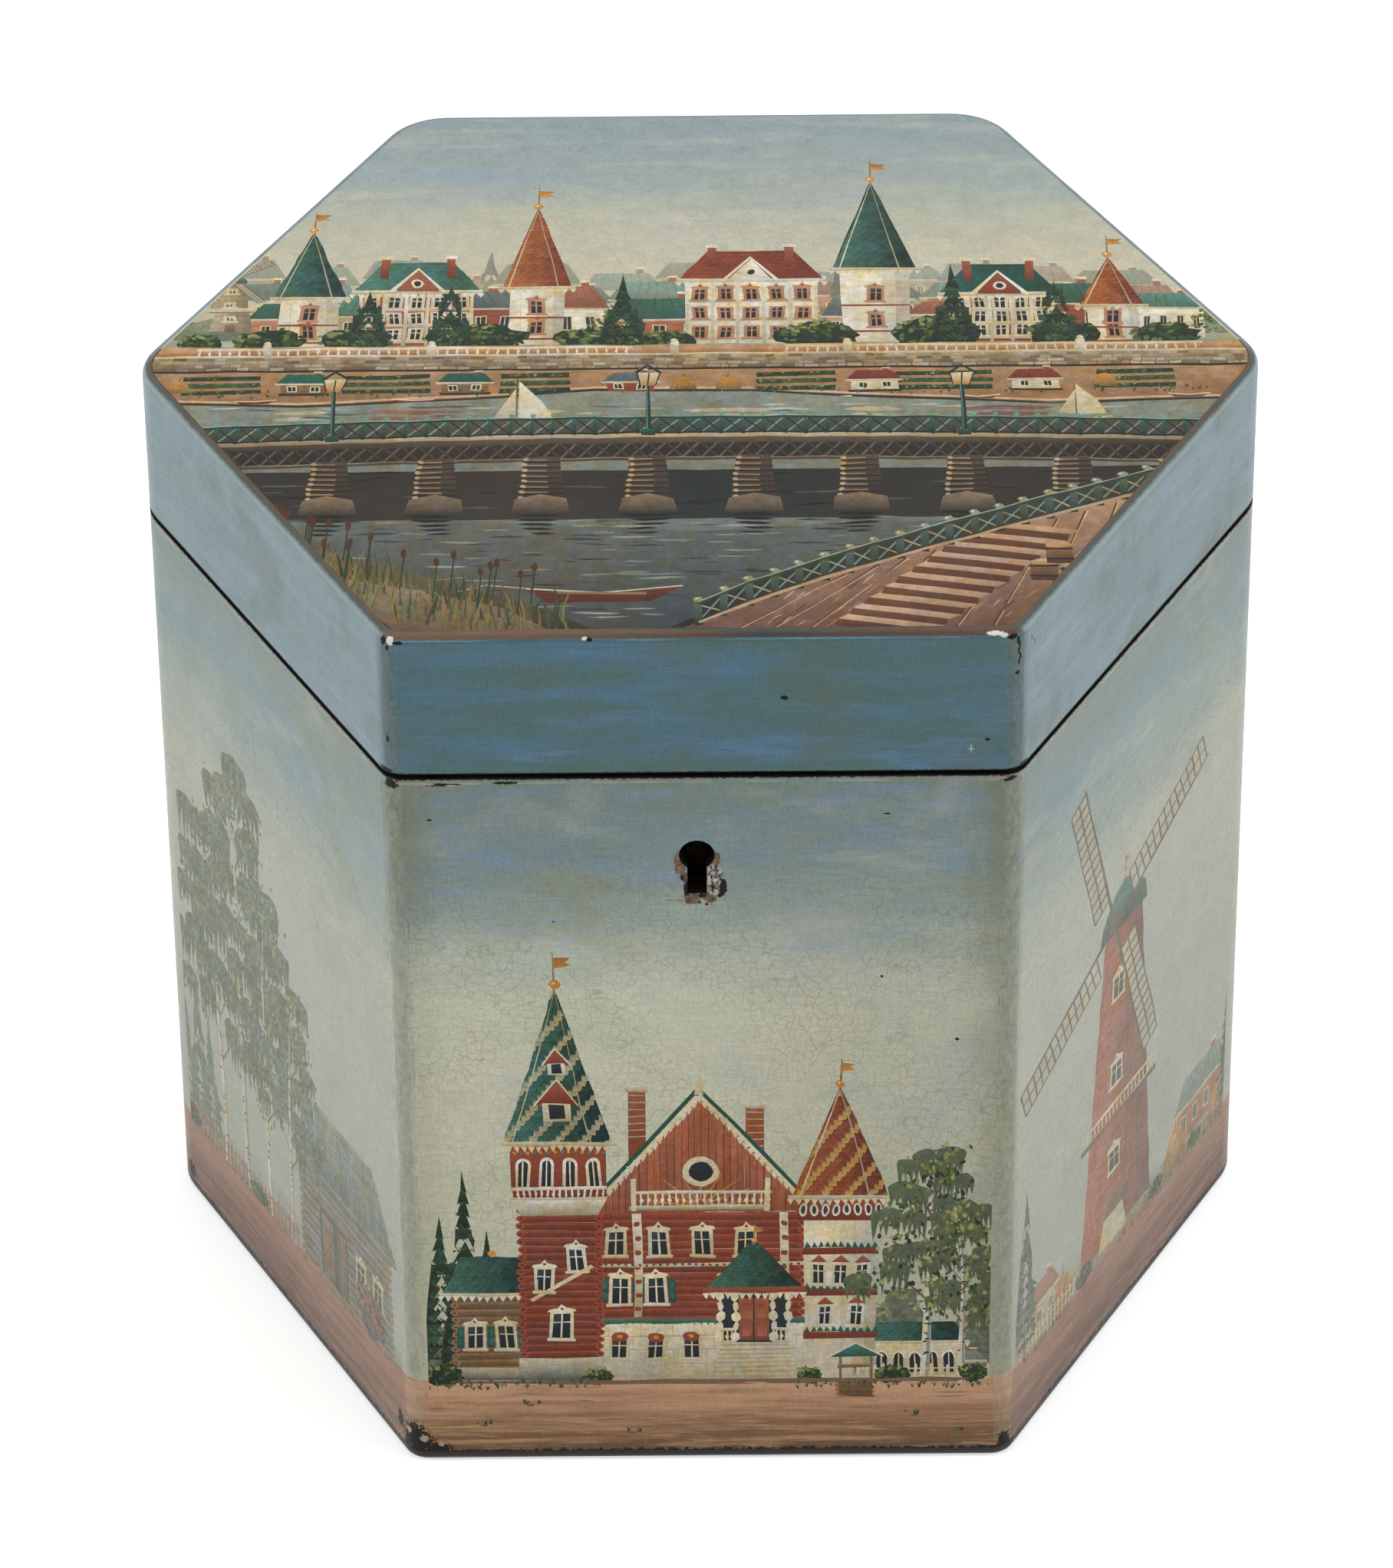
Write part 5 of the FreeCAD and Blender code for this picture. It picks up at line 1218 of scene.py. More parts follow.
def front_left_picture(c):
    """A birch grove beside a grey log barn."""
    far_country(c, -30, 30, seed=1.7)
    for x, h in ((-27, 17), (-23.8, 23), (-20.6, 19)):
        spruce(c, x, GROUND, h, 5, [n * 1.8 for n in NEEDLES], 0.7)
    logs(c, 4, GROUND, 27.5, GROUND + 15, srgb("#7b7670"), 1.25)
    box(c, 9, GROUND, 16, GROUND + 10, DUSK * 0.6, DUSK)
    for a, b, low, high in ((9.4, 12.4, "#6b5548", "#93765f"), (13.4, 15.7, "#5b493f", "#7d6553")):
        planks(c, [(a, GROUND), (b, GROUND), (b, GROUND + 9.6), (a, GROUND + 9.6)], srgb(low), srgb(high), 0.75)
    for y in (2.4, 7.4):
        box(c, 9.4, GROUND + y, 12.4, GROUND + y + 0.35, LOG * 0.5)
    line(c, [(9.4, GROUND + 2.6), (12.4, GROUND + 7.5)], 0.3, LOG * 0.55)
    for x in (19.6, 24):
        window(c, x, GROUND + 5.6, 1.8, 3, CREAM * 0.9)
    planks(c, [(1.6, GROUND + 15), (29.2, GROUND + 15), (23.5, GROUND + 25.5), (7, GROUND + 25.5)],
           srgb("#66706f"), srgb("#8f9a97"), 0.8)
    for k in range(5):
        line(c, [(2.4 + k * 1.15, GROUND + 16.4 + k * 2), (28.6 - k * 1.2, GROUND + 16.4 + k * 2)], 0.14, "#4d5654")
    box(c, 1.4, GROUND + 14.5, 29.3, GROUND + 15.2, "#4f4a45", "#a39c8d")
    for x, h, lean, thick in ((-16.8, 52, -1.6, 1.3), (-11.2, 61, 1.2, 1.6), (-5, 47, 1.8, 1.2), (1.2, 38, 2.2, 1)):
        birch(c, x, GROUND - 0.8, h, lean, thick=thick, number=200, cover=0.92)
    bush(c, 22, GROUND - 0.5, 8, 7, number=90, size=0.8, cover=0.95)
    for _ in range(46):
        u, v = 22 + c.between(-3.4, 3.4), GROUND + 3.2 + c.between(-2.4, 2.8)
        for k in range(3):
            dab(c, u + c.between(-0.3, 0.3), v + c.between(-0.3, 0.3), 0.42, "#b2432f", 0, 0.95)
    fence(c, -29.5, 3, GROUND - 0.8, 3.6, srgb("#a1694f"), 1.05, 0.95)
    bush(c, -8, GROUND - 1, 5, 2.6, number=50, size=0.6)
    bush(c, -26.5, GROUND - 1, 4.6, 3, number=40, size=0.6)
    earth(c, 60, 30, GROUND - 1.4)
    grass(c, -29, 29, GROUND - 1.5, GROUND - 0.8, 70, LEAVES[1:4], 0.8)


def front_right_picture(c):
    """A brick-red mill on a knoll, with stacks and a farm behind."""
    far_country(c, -30, 30, seed=3.1)
    hills(c, -30, 30, GROUND - 0.3, 7.5, "#8d8468", "#a39c80", 4.4, 0.85, across=0.8)
    cottage(c, 20.5, GROUND + 1.8, 13, 5.2, 4.2, srgb("#a5664d"), srgb("#7d8c88"), 4, cover=0.9)
    cottage(c, -23.5, GROUND + 1, 9, 4, 3.2, srgb("#b09a80"), srgb("#98583f"), 3, cover=0.85)
    windmill(c, -3, GROUND + 1.4, 46, 19, srgb("#96503d"), 0.97)
    for k in range(9):
        box(c, -6.4 - k * 0.14, GROUND + 4.4 - k * 0.5, -1.2 + k * 0.14, GROUND + 4.9 - k * 0.5, CREAM * 0.55, CREAM)
    for x, w, t in ((13.4, 6.2, 6.6), (25.4, 5, 5.4), (-17.4, 5.6, 5.8)):
        haystack(c, x, GROUND - 0.6, w, t)
    fence(c, -29.5, -13, GROUND - 1, 3, CREAM * 0.85, 1)
    fence(c, 5, 29.5, GROUND - 1.4, 2.6, LOG * 1.1, 1.1)
    for x, h in ((-27.4, 24), (27.6, 20)):
        spruce(c, x, GROUND - 0.4, h, 5.6, [n * 1.4 for n in NEEDLES], 0.9)
    for x, w, t in ((8, 4, 2.6), (-11.6, 4.4, 2.8), (19, 3.4, 2.4)):
        bush(c, x, GROUND - 1, w, t, number=44, size=0.6)
    earth(c, 60, 30, GROUND - 1.6)
    grass(c, -29, 29, GROUND - 1.8, GROUND - 1, 70, LEAVES[1:4], 0.8)


def back_picture(c):
    """A lake with a landing stage and a fishing village."""
    far_country(c, -33, 33, v=GROUND + 6, seed=5.2, cover=0.7)
    for x, w in ((-24, 8), (-13, 7), (18, 9)):
        cottage(c, x, GROUND + 6.2, w, 3.4, 3, (LOG, CREAM, TERRACOTTA)[int(w) % 3], (BRICK, TEAL, SLATE)[int(w) % 3],
                3)
    for x, h in ((-29.5, 20), (-6, 16), (-3.4, 22), (26, 26), (29.6, 18)):
        spruce(c, x, GROUND + 5.8, h, 5)
    c.paint([(-33, 4.4), (33, 3.4), (33, GROUND + 6.4), (-33, GROUND + 6.4)], "#5b6c72", "#95a3a1", across=1)
    ripples(c, -32, 32, 5, GROUND + 6, 150, ["#b4beb9", "#6d7d80", "#8b9895"], 3.4)
    for x in range(9):
        box(c, 2 + x * 2.4, 7.4, 2.5 + x * 2.4, GROUND + 0.6, LOG * 0.4, LOG * 0.9)
    box(c, 1, GROUND + 0.4, 23.6, GROUND + 1.5, LOG * 0.7, CREAM * 0.8, across=0.7)
    boat(c, -15, GROUND - 3, 11, BRICK, WHITE)
    boat(c, -2, GROUND + 1.2, 6, TEAL)
    boat(c, 10, GROUND - 5.2, 8, LOG * 0.8)
    grass(c, -33, 33, 3.2, 5.4, 160, LEAVES[1:], 1.7)


def back_side_picture(c, seed, mill):
    """Fields and a wood, seen on the two sides behind."""
    far_country(c, -30, 30, v=GROUND + 3, seed=seed, cover=0.65)
    hills(c, -30, 30, GROUND - 0.4, 8, "#8f8a5c", "#b0a878", seed + 1, 0.9, across=0.9)
    for k in range(5):
        hills(c, -30, 30, GROUND - 0.4, 6.4 - k * 1.3, "#7f7a4e", ("#a9a068", "#7d8a52")[k % 2], seed + k, 0.9,
              across=0.9)
    if mill:
        windmill(c, 10, GROUND + 3, 24, 10, LOG, 1, 0.7)
    else:
        cottage(c, 8, GROUND + 2, 17, 7, 6.4, LOG, TEAL, 4)
    for x, h in ((-26, 40), (-20.6, 31), (-14.8, 36), (24.8, 30)):
        spruce(c, x, GROUND - 0.5, h, 7)
    birch(c, -6.5 if mill else -7.5, GROUND - 0.6, 38, 1.5, thick=1.1, number=170)
    for x in (2, 19):
        haystack(c, x, GROUND - 0.6, 5.6, 5.4)
    fence(c, -29.5, 29.5, GROUND - 1.2, 2.8, LOG * 1.1, 1.3)
    grass(c, -29, 29, GROUND - 1.8, GROUND - 1, 80, LEAVES[1:4], 0.8)


def top_picture(c):
    """A riverside village in a wide panorama: far bank, river, footbridge and near shore."""
    bank = 2
    hills(c, -64, 64, bank, 15, "#9aa296", "#b0b3a4", 0.6, 0.55)
    hills(c, -64, 64, bank, 10, "#84907f", "#a0a793", 2.6, 0.75)
    wood_edge(c, -62, 62, bank + 3, 5.6, [srgb("#5f7159"), srgb("#6f7f63"), srgb("#4f6452")], 0.85, 1.7)
    walls = [RUST, CREAM, srgb("#b8806a"), srgb("#a7977c"), TERRACOTTA, WHITE]
    caps = [TEAL, srgb("#8f5a45"), SLATE, SEA]
    for row, lift, thin in ((0, 8.5, 0.62), (1, 5, 0.82), (2, 2, 0.97)):
        x, k = -57 + row * 2.5, row
        while x < 58 - lift:
            w = c.between(5.5, 9.5) + row
            h = c.between(3.6, 6.8)
            cottage(c, x + w / 2, bank + lift + c.between(0, 1.6), w, h, c.between(2.6, 4.8),
                    blend(walls[k % 6], HAZE_AND_SHEEN, 0.45 - 0.22 * row),
                    blend(caps[(k * 3 + row) % 4], HAZE_AND_SHEEN, 0.45 - 0.22 * row),
                    c.random.randint(3, 5), cover=thin)
            if k % 2:
                leaves(c, x + w, bank + lift + 3.6, 3.6, 5, 26, LEAVES[1:], 0.75, cover=thin)
            if k % 5 == 3:
                spruce(c, x + w, bank + lift, c.between(9, 13), 3.4, [blend(n, HAZE_AND_SHEEN, 0.3) for n in NEEDLES], thin)
            x += w + c.between(0.2, 1.6)
            k += 1
    # the tall houses of the village
    for x, w, h, wall, cap in ((-33, 13, 13.5, RUST, SEA), (6, 15, 15.5, WHITE, TERRACOTTA),
                               (35, 12, 12, TERRACOTTA, TEAL)):
        box(c, x - w / 2, bank + 1.6, x + w / 2, bank + h, wall * 0.75, wall * 1.05, across=0.3)
        for row in range(3):
            for i in range(5):
                window(c, x - w / 2 + w * (i + 0.5) / 5, bank + 3 + row * (h - 3) / 3, 1.1, 2.1,
                       CREAM if wall != WHITE else srgb("#b98a6c"),
                       crest=row == 2)
            box(c, x - w / 2, bank + 2.2 + row * (h - 3) / 3, x + w / 2, bank + 2.5 + row * (h - 3) / 3, CREAM * 0.75)
        for i in range(6):
            y = x - w / 2 + w * i / 5
            box(c, y - 0.22, bank + 1.6, y + 0.22, bank + h - 0.4, CREAM * 0.6, WHITE * 0.95)
        shingles(c, [(x - w / 2 - 1, bank + h), (x + w / 2 + 1, bank + h), (x + w / 2 - 2.4, bank + h + 6.4),
                     (x - w / 2 + 2.4, bank + h + 6.4)], cap * 1.25, cap * 0.7, 1.05)
        box(c, x - w / 2 - 1.2, bank + h - 0.5, x + w / 2 + 1.2, bank + h + 0.3, CREAM * 0.6, WHITE)
        lace(c, (x - w / 2 - 1, bank + h - 0.5), (x + w / 2 + 1, bank + h - 0.5), 1, 0.9, WHITE)
        c.paint([(x - 2.6, bank + h), (x + 2.6, bank + h), (x, bank + h + 4.6)], wall * 0.8, wall * 1.1)
        mass(c, x, bank + h + 1.7, 1.5, 1.9, CREAM, WHITE, 0, 12)
        mass(c, x, bank + h + 1.7, 0.9, 1.2, PANE, DUSK, 0, 10)
        line(c, [(x - 3.2, bank + h - 0.1), (x, bank + h + 5), (x + 3.2, bank + h - 0.1)], 0.55, WHITE)
        for y in (x - w * 0.3, x + w * 0.3):
            box(c, y - 0.5, bank + h + 3, y + 0.5, bank + h + 7.4, BRICK * 0.8, RUST)
            box(c, y - 0.75, bank + h + 7.2, y + 0.75, bank + h + 7.9, WHITE)
    for x, w, h, t, lit, dark in ((-45.5, 7, 12, 14, SEA, DEEP_TEAL), (-19, 6.4, 14, 17, srgb("#c27a48"), BRICK),
                                  (20.5, 8, 17.5, 19, SEA, DEEP_TEAL), (48, 6, 9, 10, srgb("#c27a48"), BRICK)):
        for i in range(5):
            box(c, x - w / 2 + w * i / 5, bank + 1.6, x - w / 2 + w * (i + 1) / 5, bank + h,
                WHITE * (0.85, 0.9, 0.82, 0.7, 0.58)[i], WHITE * (1, 1.05, 0.98, 0.84, 0.7)[i])
        for y in (0.3, 0.62):
            window(c, x, bank + h * y, 1.2, 2.4, srgb("#b98a6c"))
            box(c, x - w / 2, bank + h * y - 1.4, x + w / 2, bank + h * y - 1, TERRACOTTA)
        tent(c, x, bank + h + 0.4, w + 1.6, t, lit, dark, 1, None, 5.5)
    windmill(c, -54.5, bank + 5, 11, 5, srgb("#9c8d78"), 0.9, 0.6)
    spots = [(-58, 5, 5), (-50, 8, 6), (-40, 9, 6), (-26, 12, 7), (-12, 9, 6), (-4, 7, 5), (13.5, 9, 7), (27.5, 10, 8),
             (42, 8, 7), (54, 8, 6)]
    for x, w, t in spots:
        bush(c, x, bank + 0.2, w, t * 0.85, number=int(w * 9), size=0.95)
    for x, h in ((-9, 15), (-29, 13), (29.5, 17), (41.5, 13), (-38.5, 12)):
        spruce(c, x, bank + 0.6, h, 4.6)
    far_bank(c, bank)
    river(c)
    footbridge(c)
    near_shore(c)


STRAND = [(-64, -8.6), (-46, -9.4), (-28, -8.2), (-12, -6.4), (6, -6.8), (22, -8.4), (40, -9.8), (64, -9)]


def far_bank(c, bank):
    """The terraced far bank: a road, a stone wall, gardens and a strand with boats drawn up."""
    c.paint(STRAND + [(64, bank + 1.4), (-64, bank + 1.6)], "#8f6b50", "#b99a78", across=0.9)
    line(c, [(u, v + 0.1) for u, v in STRAND], 0.7, "#2b241e")
    line(c, [(u, v + 0.8) for u, v in STRAND], 0.4, "#c9b393")
    box(c, -64, bank - 0.4, 64, bank + 0.8, "#8a6247", "#c59c76", across=1)
    box(c, -64, bank - 3.6, 64, bank - 0.6, "#564a3f", "#a9987f", across=0.4)
    for k in range(4):
        u = -63 + c.between(0, 1)
        while u < 63:
            w = c.between(1, 2.1)
            tone = blend("#6d5d4d", "#c2b397", c.random.random())
            box(c, u, bank - 3.5 + 0.72 * k, u + w - 0.16, bank - 2.92 + 0.72 * k, tone * 0.8, tone)
            u += w
    box(c, -64, bank - 0.7, 64, bank - 0.3, "#b9aa8c", "#ded4ba")
    box(c, -64, bank - 3.9, 64, bank - 3.5, "#1f1a17")
    rail(c, -58, -8, bank - 0.4, 1.3, WHITE, 1.15)
    rail(c, 10, 58, bank - 0.4, 1.3, CREAM, 1.15)
    for x in (-50, -31, -3, 17, 44):
        box(c, x - 0.5, bank - 0.6, x + 0.5, bank + 2, CREAM * 0.6, WHITE)
        dab(c, x, bank + 2.3, 0.9, CREAM, 0, 0.9)
    for x, w in ((-55, 9), (-36, 10), (-19, 8), (11, 9), (28, 11), (50, 9)):
        for k in range(3):
            line(c, [(x - w / 2, bank - 5.2 - k * 1.5), (x + w / 2, bank - 5 - k * 1.5)], 0.9, LEAVES[1 + k % 2],
                 leaf=1)
            leaves(c, x, bank - 5 - k * 1.5, w, 0.8, int(w * 2), LEAVES[1:], 0.55)
    for x in (-45.5, -27, -8, 20, 38.5):
        cottage(c, x, -6.6, 5.4, 2.2, 2, (LOG, TERRACOTTA, CREAM)[int(x) % 3], (TEAL, SLATE, BRICK)[int(x) % 3], 2)
        box(c, x - 3, -7, x + 3, -6.5, SHADOW, cover=0.8)
    for x in (-60, -2, 3.2, 46.5):
        haystack(c, x, -6.2, 3, 2.8)
    for x in (-51, -33, -14, 15, 32, 56):
        boat(c, x, -8.6, 4.6, (BRICK, TEAL, LOG)[int(x) % 3])
    grass(c, -60, 60, -7.6, -6.2, 90, LEAVES[1:4], 0.8)


def river(c):
    """The river: light beyond the bridge, dark under it and slate-grey in front."""
    c.paint([(-64, -54.8), (64, -54.8)] + STRAND[::-1], "#4d5759", "#868d84", across=0.6)
    c.paint([(-64, -54.8), (64, -54.8), (64, -36), (30, -33.5), (0, -35.5), (-30, -33), (-64, -35)],
            "#394347", "#5f6a6a", cover=0.85, across=0.6)
    for x, w, tone in ((-33, 12, RUST), (6, 14, CREAM), (35, 11, TERRACOTTA), (-45.5, 6, CREAM), (20.5, 7, CREAM),
                       (-19, 6, CREAM)):
        for k in range(4):
            mass(c, x + c.between(-0.6, 0.6), -10.6 - k * 1.3, w * (1 - k * 0.09), 0.9,
                 blend(tone, SLATE, 0.5 + 0.07 * k), blend(tone, SLATE, 0.4 + 0.07 * k), 0.12, 14, across=1)
    ripples(c, -61, 61, -18, -9.4, 150, ["#b5baab", "#4a5554", "#7d8782"], 4.2)
    c.paint([(-60, -33), (60, -33), (60, -23), (-60, -23)], "#1c2325", "#15191a", cover=0.86, across=0.8)
    ripples(c, -58, 58, -33.5, -23, 90, ["#10100f", "#46504f", "#2b3232"], 5)
    ripples(c, -46, 40, -53, -33, 210, ["#79827e", "#2a3133", "#4b5657", "#8d948b", "#343c3f"], 4.6)
    boat(c, -21, -14.6, 10, BRICK, WHITE)
    boat(c, 43, -14, 8, TEAL * 0.8, CREAM)


def footbridge(c):
    """The long timber bridge on log piers, bowed a little, with a lattice parapet and lamps."""
    foot = -30

    def deck(x):
        return -18.2 + 1.8 * (1 - (x / 60) ** 2)

    span = [-60 + 2.4 * i for i in range(51)]
    piers = [-54 + 12 * i for i in range(10)]
    # dark trusses under the deck
    c.paint([(x, deck(x)) for x in span] + [(x, deck(x) - 4.4) for x in span[::-1]], "#0f0e0d", "#1b1816", cover=0.93)
    for a, b in zip(piers, piers[1:]):
        steps = 6
        for i in range(steps):
            x0, x1 = a + (b - a) * i / steps, a + (b - a) * (i + 1) / steps
            line(c, [(x0, deck(x0) - 4), (x1, deck(x1) - 0.8)], 0.3, "#5e5348")
            line(c, [(x0, deck(x0) - 0.8), (x1, deck(x1) - 4)], 0.3, "#3d362f")
    line(c, [(x, deck(x) - 4.3) for x in span], 0.55, "#4a4038")
    line(c, [(x, deck(x) - 4) for x in span], 0.16, "#94866f")
    for x in piers:
        top = deck(x) - 3.6
        c.paint([(x - 2.6, foot), (x + 2.6, foot), (x + 2, top), (x - 2, top)], "#2a2420", "#4c4138", across=0.6)
        rows = 9
        for k in range(rows):
            y, half = foot + (top - foot) * k / rows, 2.6 - 0.6 * k / rows
            line(c, [(x - half, y), (x + half, y)], 0.22, "#0f0d0c")
            line(c, [(x - half, y + 0.42), (x + half * 0.3, y + 0.42)], 0.26, "#8b7862")
            dab(c, x - half + 0.3, y + 0.5, 0.75, "#b09a7c", 0, 0.9)
        c.paint([(x - 3.3, foot - 1.6), (x + 3.3, foot - 1.6), (x + 2.9, foot + 1.2), (x, foot + 2.2),
                 (x - 2.9, foot + 1.2)],
                "#3a332d", "#857561", across=0.9)
        for k in range(5):
            dab(c, x + c.between(-0.5, 0.5), foot - 2.2 - k * 0.9, 5.6 - k * 0.6, "#12110f", 0, 0.12)
    # planking and parapet
    c.paint([(x, deck(x) - 1) for x in span] + [(x, deck(x) + 0.3) for x in span[::-1]], "#241f1b", "#5f5447")
    c.paint([(x, deck(x) + 0.2) for x in span] + [(x, deck(x) + 1) for x in span[::-1]], "#7c6d5b", "#c2b397")
    c.paint([(x, deck(x) + 1) for x in span] + [(x, deck(x) + 4.4) for x in span[::-1]], "#232d2c", "#39504c",
            cover=0.72)
    for x0, x1 in zip(span, span[1:]):
        y0, y1 = deck(x0), deck(x1)
        line(c, [(x0 + 0.2, y0 + 1.2), (x1, y1 + 4.2)], 0.2, "#7f9a8f")
        line(c, [(x0 + 0.2, y0 + 4.2), (x1, y1 + 1.2)], 0.2, "#0f1f1d")
        box(c, x0 - 0.22, y0 + 0.9, x0 + 0.22, y0 + 4.8, "#0f201e", "#3d625a")
        dab(c, x0, y0 + 5.1, 0.8, "#6f968a", 0, 0.9)
    line(c, [(x, deck(x) + 4.4) for x in span], 0.5, "#14302c")
    line(c, [(x, deck(x) + 4.6) for x in span], 0.18, "#86a89b")
    line(c, [(x, deck(x) + 1.2) for x in span], 0.34, "#12211f")
    for x in (-42, -6, 30):
        y = deck(x)
        line(c, [(x, y + 0.6), (x, y + 11.4)], 0.66, "#12312d", 0.42)
        line(c, [(x - 0.15, y + 0.6), (x - 0.1, y + 11.2)], 0.14, "#5b8579")
        box(c, x - 0.8, y + 0.6, x + 0.8, y + 1.9, "#0f2a27", TEAL)
        c.paint([(x - 0.9, y + 11.2), (x + 0.9, y + 11.2), (x + 1.4, y + 13.8), (x - 1.4, y + 13.8)], GOLD * 0.8,
                "#d8d2b8")
        line(c, [(x - 1.5, y + 13.8), (x, y + 15.4), (x + 1.5, y + 13.8)], 0.42, DEEP_TEAL)
        for lean in (-0.9, 0, 0.9):
            line(c, [(x + lean, y + 11.2), (x + lean * 1.5, y + 13.8)], 0.16, DEEP_TEAL)


def near_shore(c):
    """The near shore: a broad timber quay on the right, reeds and a moored boat on the left."""
    edge = [(-2, -54.8), (5, -50), (14, -45), (25, -39.6), (38, -33.6), (52, -27.6), (64, -23)]
    c.paint([(u - 1.6, v + 0.2) for u, v in edge] + [(64, -54.8)], "#1d1713", "#2d2620")
    c.paint(edge + [(64, -54.8)], "#6b4f43", "#a98a77", across=0.6)
    for k in range(13):
        t = k / 13
        a, b = (4 + 52 * t, -54.8), (16 + 44 * t, -44.4 + 20 * t)
        line(c, [a, ((a[0] + b[0]) / 2 + 0.3, (a[1] + b[1]) / 2), b], 0.2, "#553a2d")
        line(c, [(a[0] + 0.3, a[1]), (b[0] + 0.3, b[1])], 0.12, "#d3ab8c")
    for _ in range(110):
        u = c.between(8, 56)
        dab(c, u, c.between(-54, -50 + (u - 6) * 0.42), c.between(1.2, 4),
            c.one_of(("#86695a", "#bb9c88", "#5f4438", "#9a7b69")), 0.9, 0.1)
    # a flight of steps down to the water
    for k in range(10):
        u, v = 15.5 + k * 1.75, -54 + k * 2.05
        c.paint([(u - 1, v - 0.5), (u + 9.6, v - 2.6), (u + 10, v - 1.3), (u - 0.6, v + 0.9)],
                "#4a2f23", "#6f4a38")
        c.paint([(u - 0.6, v + 0.8), (u + 10, v - 1.4), (u + 11.2, v - 0.6), (u + 0.6, v + 1.7)],
                "#a38570", "#cbae98")
    # balustrade along the water
    posts = []
    for u in [edge[0][0] + 1.6 + 62 * i / 22 for i in range(23)]:
        for (au, av), (bu, bv) in zip(edge, edge[1:]):
            if au <= u - 1 <= bu:
                posts.append((u, av + (bv - av) * (u - 1 - au) / (bu - au)))
    foot_line, head_line = [(u, v + 0.6) for u, v in posts], [(u, v + 4.4) for u, v in posts]
    c.paint(foot_line + head_line[::-1], "#121816", "#263330", cover=0.85)
    for (au, av), (bu, bv) in zip(posts, posts[1:]):
        line(c, [(au, av + 0.9), (bu, bv + 4.2)], 0.24, "#6d8b80")
        line(c, [(au, av + 4.2), (bu, bv + 0.9)], 0.24, "#9a9479")
    for u, v in posts:
        box(c, u - 0.45, v, u + 0.45, v + 5, "#1a2422", "#54655c")
        dab(c, u, v + 5.3, 1.3, "#8d9580", 0, 0.8)
        dab(c, u - 0.2, v + 5.45, 0.45, CREAM, 0, 0.8)
    line(c, [(u, v + 4.5) for u, v in posts], 0.6, "#2b3d38")
    line(c, [(u, v + 4.75) for u, v in posts], 0.18, "#a9ab90")
    line(c, foot_line, 0.5, "#b39a7e")
    # barrels and sacks on the quay
    for u, v in ((38, -46), (41.4, -46.6), (39.8, -42.6), (45.5, -44.6)):
        box(c, u - 1.5, v, u + 1.5, v + 3.6, "#3d2a1f", "#8a6748", upright=0.8)
        mass(c, u, v + 3.6, 3, 1.3, "#a98660", "#c9a67d", 0, 14)
        for y in (0.7, 2.7):
            box(c, u - 1.6, v + y, u + 1.6, v + y + 0.32, "#1b1714")
    for u, v in ((49.6, -41), (52.6, -39.4)):
        mass(c, u, v + 1.2, 3.4, 2.8, "#8d7a5c", "#cdbd98", 0.08, 14)
        line(c, [(u - 0.6, v + 2.6), (u, v + 3.3), (u + 0.6, v + 2.6)], 0.4, "#6d5b41")
    # the reedy bank
    c.paint([(-64, -54.8), (-12, -54.8), (-17, -51), (-26, -46.4), (-38, -41), (-50, -35.6), (-60, -30)],
            "#2e281d", "#6e6546", across=0.8)
    c.paint([(-34, -54.8), (-17, -54.8), (-22, -50.6), (-31, -47), (-41, -44.4)], "#66564a", "#8d7b69", across=0.6)
    boat(c, -11, -49.6, 17, BRICK * 0.8)
    line(c, [(-16, -47.6), (-6, -48)], 0.5, LOG * 1.2)
    line(c, [(-19.5, -46.8), (-24, -46), (-27, -47.4)], 0.22, "#b7a27f")
    for _ in range(260):
        t = c.random.random()
        u, v = -60 + 44 * t + c.between(-3, 3), -36 - 18.5 * t + c.between(-6, 1.5)
        tone = c.one_of((LEAVES[2], LEAVES[3], OCHRE, LEAVES[1], LEAVES[4]))
        tone = blend(tone, "#575340", 0.4) * c.between(0.6, 1)
        bend = c.between(-1.4, 1.4)
        line(c, [(u, v), (u + bend * 0.3, v + 3), (u + bend, v + c.between(4.5, 7))], 0.34, tone, 0.07)
    for _ in range(26):
        t = c.random.random()
        u, v = -56 + 38 * t, -35 - 16 * t + c.between(-4, 1)
        line(c, [(u, v), (u + 0.3, v + 6.5)], 0.18, LEAVES[1])
        dab(c, u + 0.3, v + 7.2, 2.2, "#4a2d1f", math.pi / 2, 0.3)


# The boards with pictures on them
def side_frame(number):
    """The middle of a side's foot, the way right along it as seen from outside, and the way out."""
    a = Vector((*CORNERS[number], 0.0)) * MM
    b = Vector((*CORNERS[(number + 1) % 6], 0.0)) * MM
    right = (b - a).normalized()
    return (a + b) / 2, right, Vector((right.y, -right.x, 0.0))


# Millimetres on a canvas, metres on a board
TOUCHING, STRAIGHT, SAME_PLACE, SAME_LEVEL, SAME_WAY = 1e-4, 2e-4, 2e-6, 5e-6, 0.99999
GROUND_SHOWS, OFF_BOARD = -1, -2
BARE = (0.5, 0.5, 0.5, 0.0)


def mesh_arrays(node):
    """The places of a node's corners, made one where they meet, its faces and the normals at their corners."""
    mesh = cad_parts[node].data
    places = [v.co.copy() for v in mesh.vertices]
    tree = KDTree(len(places))
    for i, p in enumerate(places):
        tree.insert(p, i)
    tree.balance()
    first = [min(found[1] for found in tree.find_range(p, SAME_PLACE)) for p in places]
    faces = [[first[v] for v in polygon.vertices] for polygon in mesh.polygons]
    normals = [[mesh.corner_normals[k].vector.copy() for k in polygon.loop_indices] for polygon in mesh.polygons]
    return places, faces, normals, [polygon.normal.copy() for polygon in mesh.polygons]


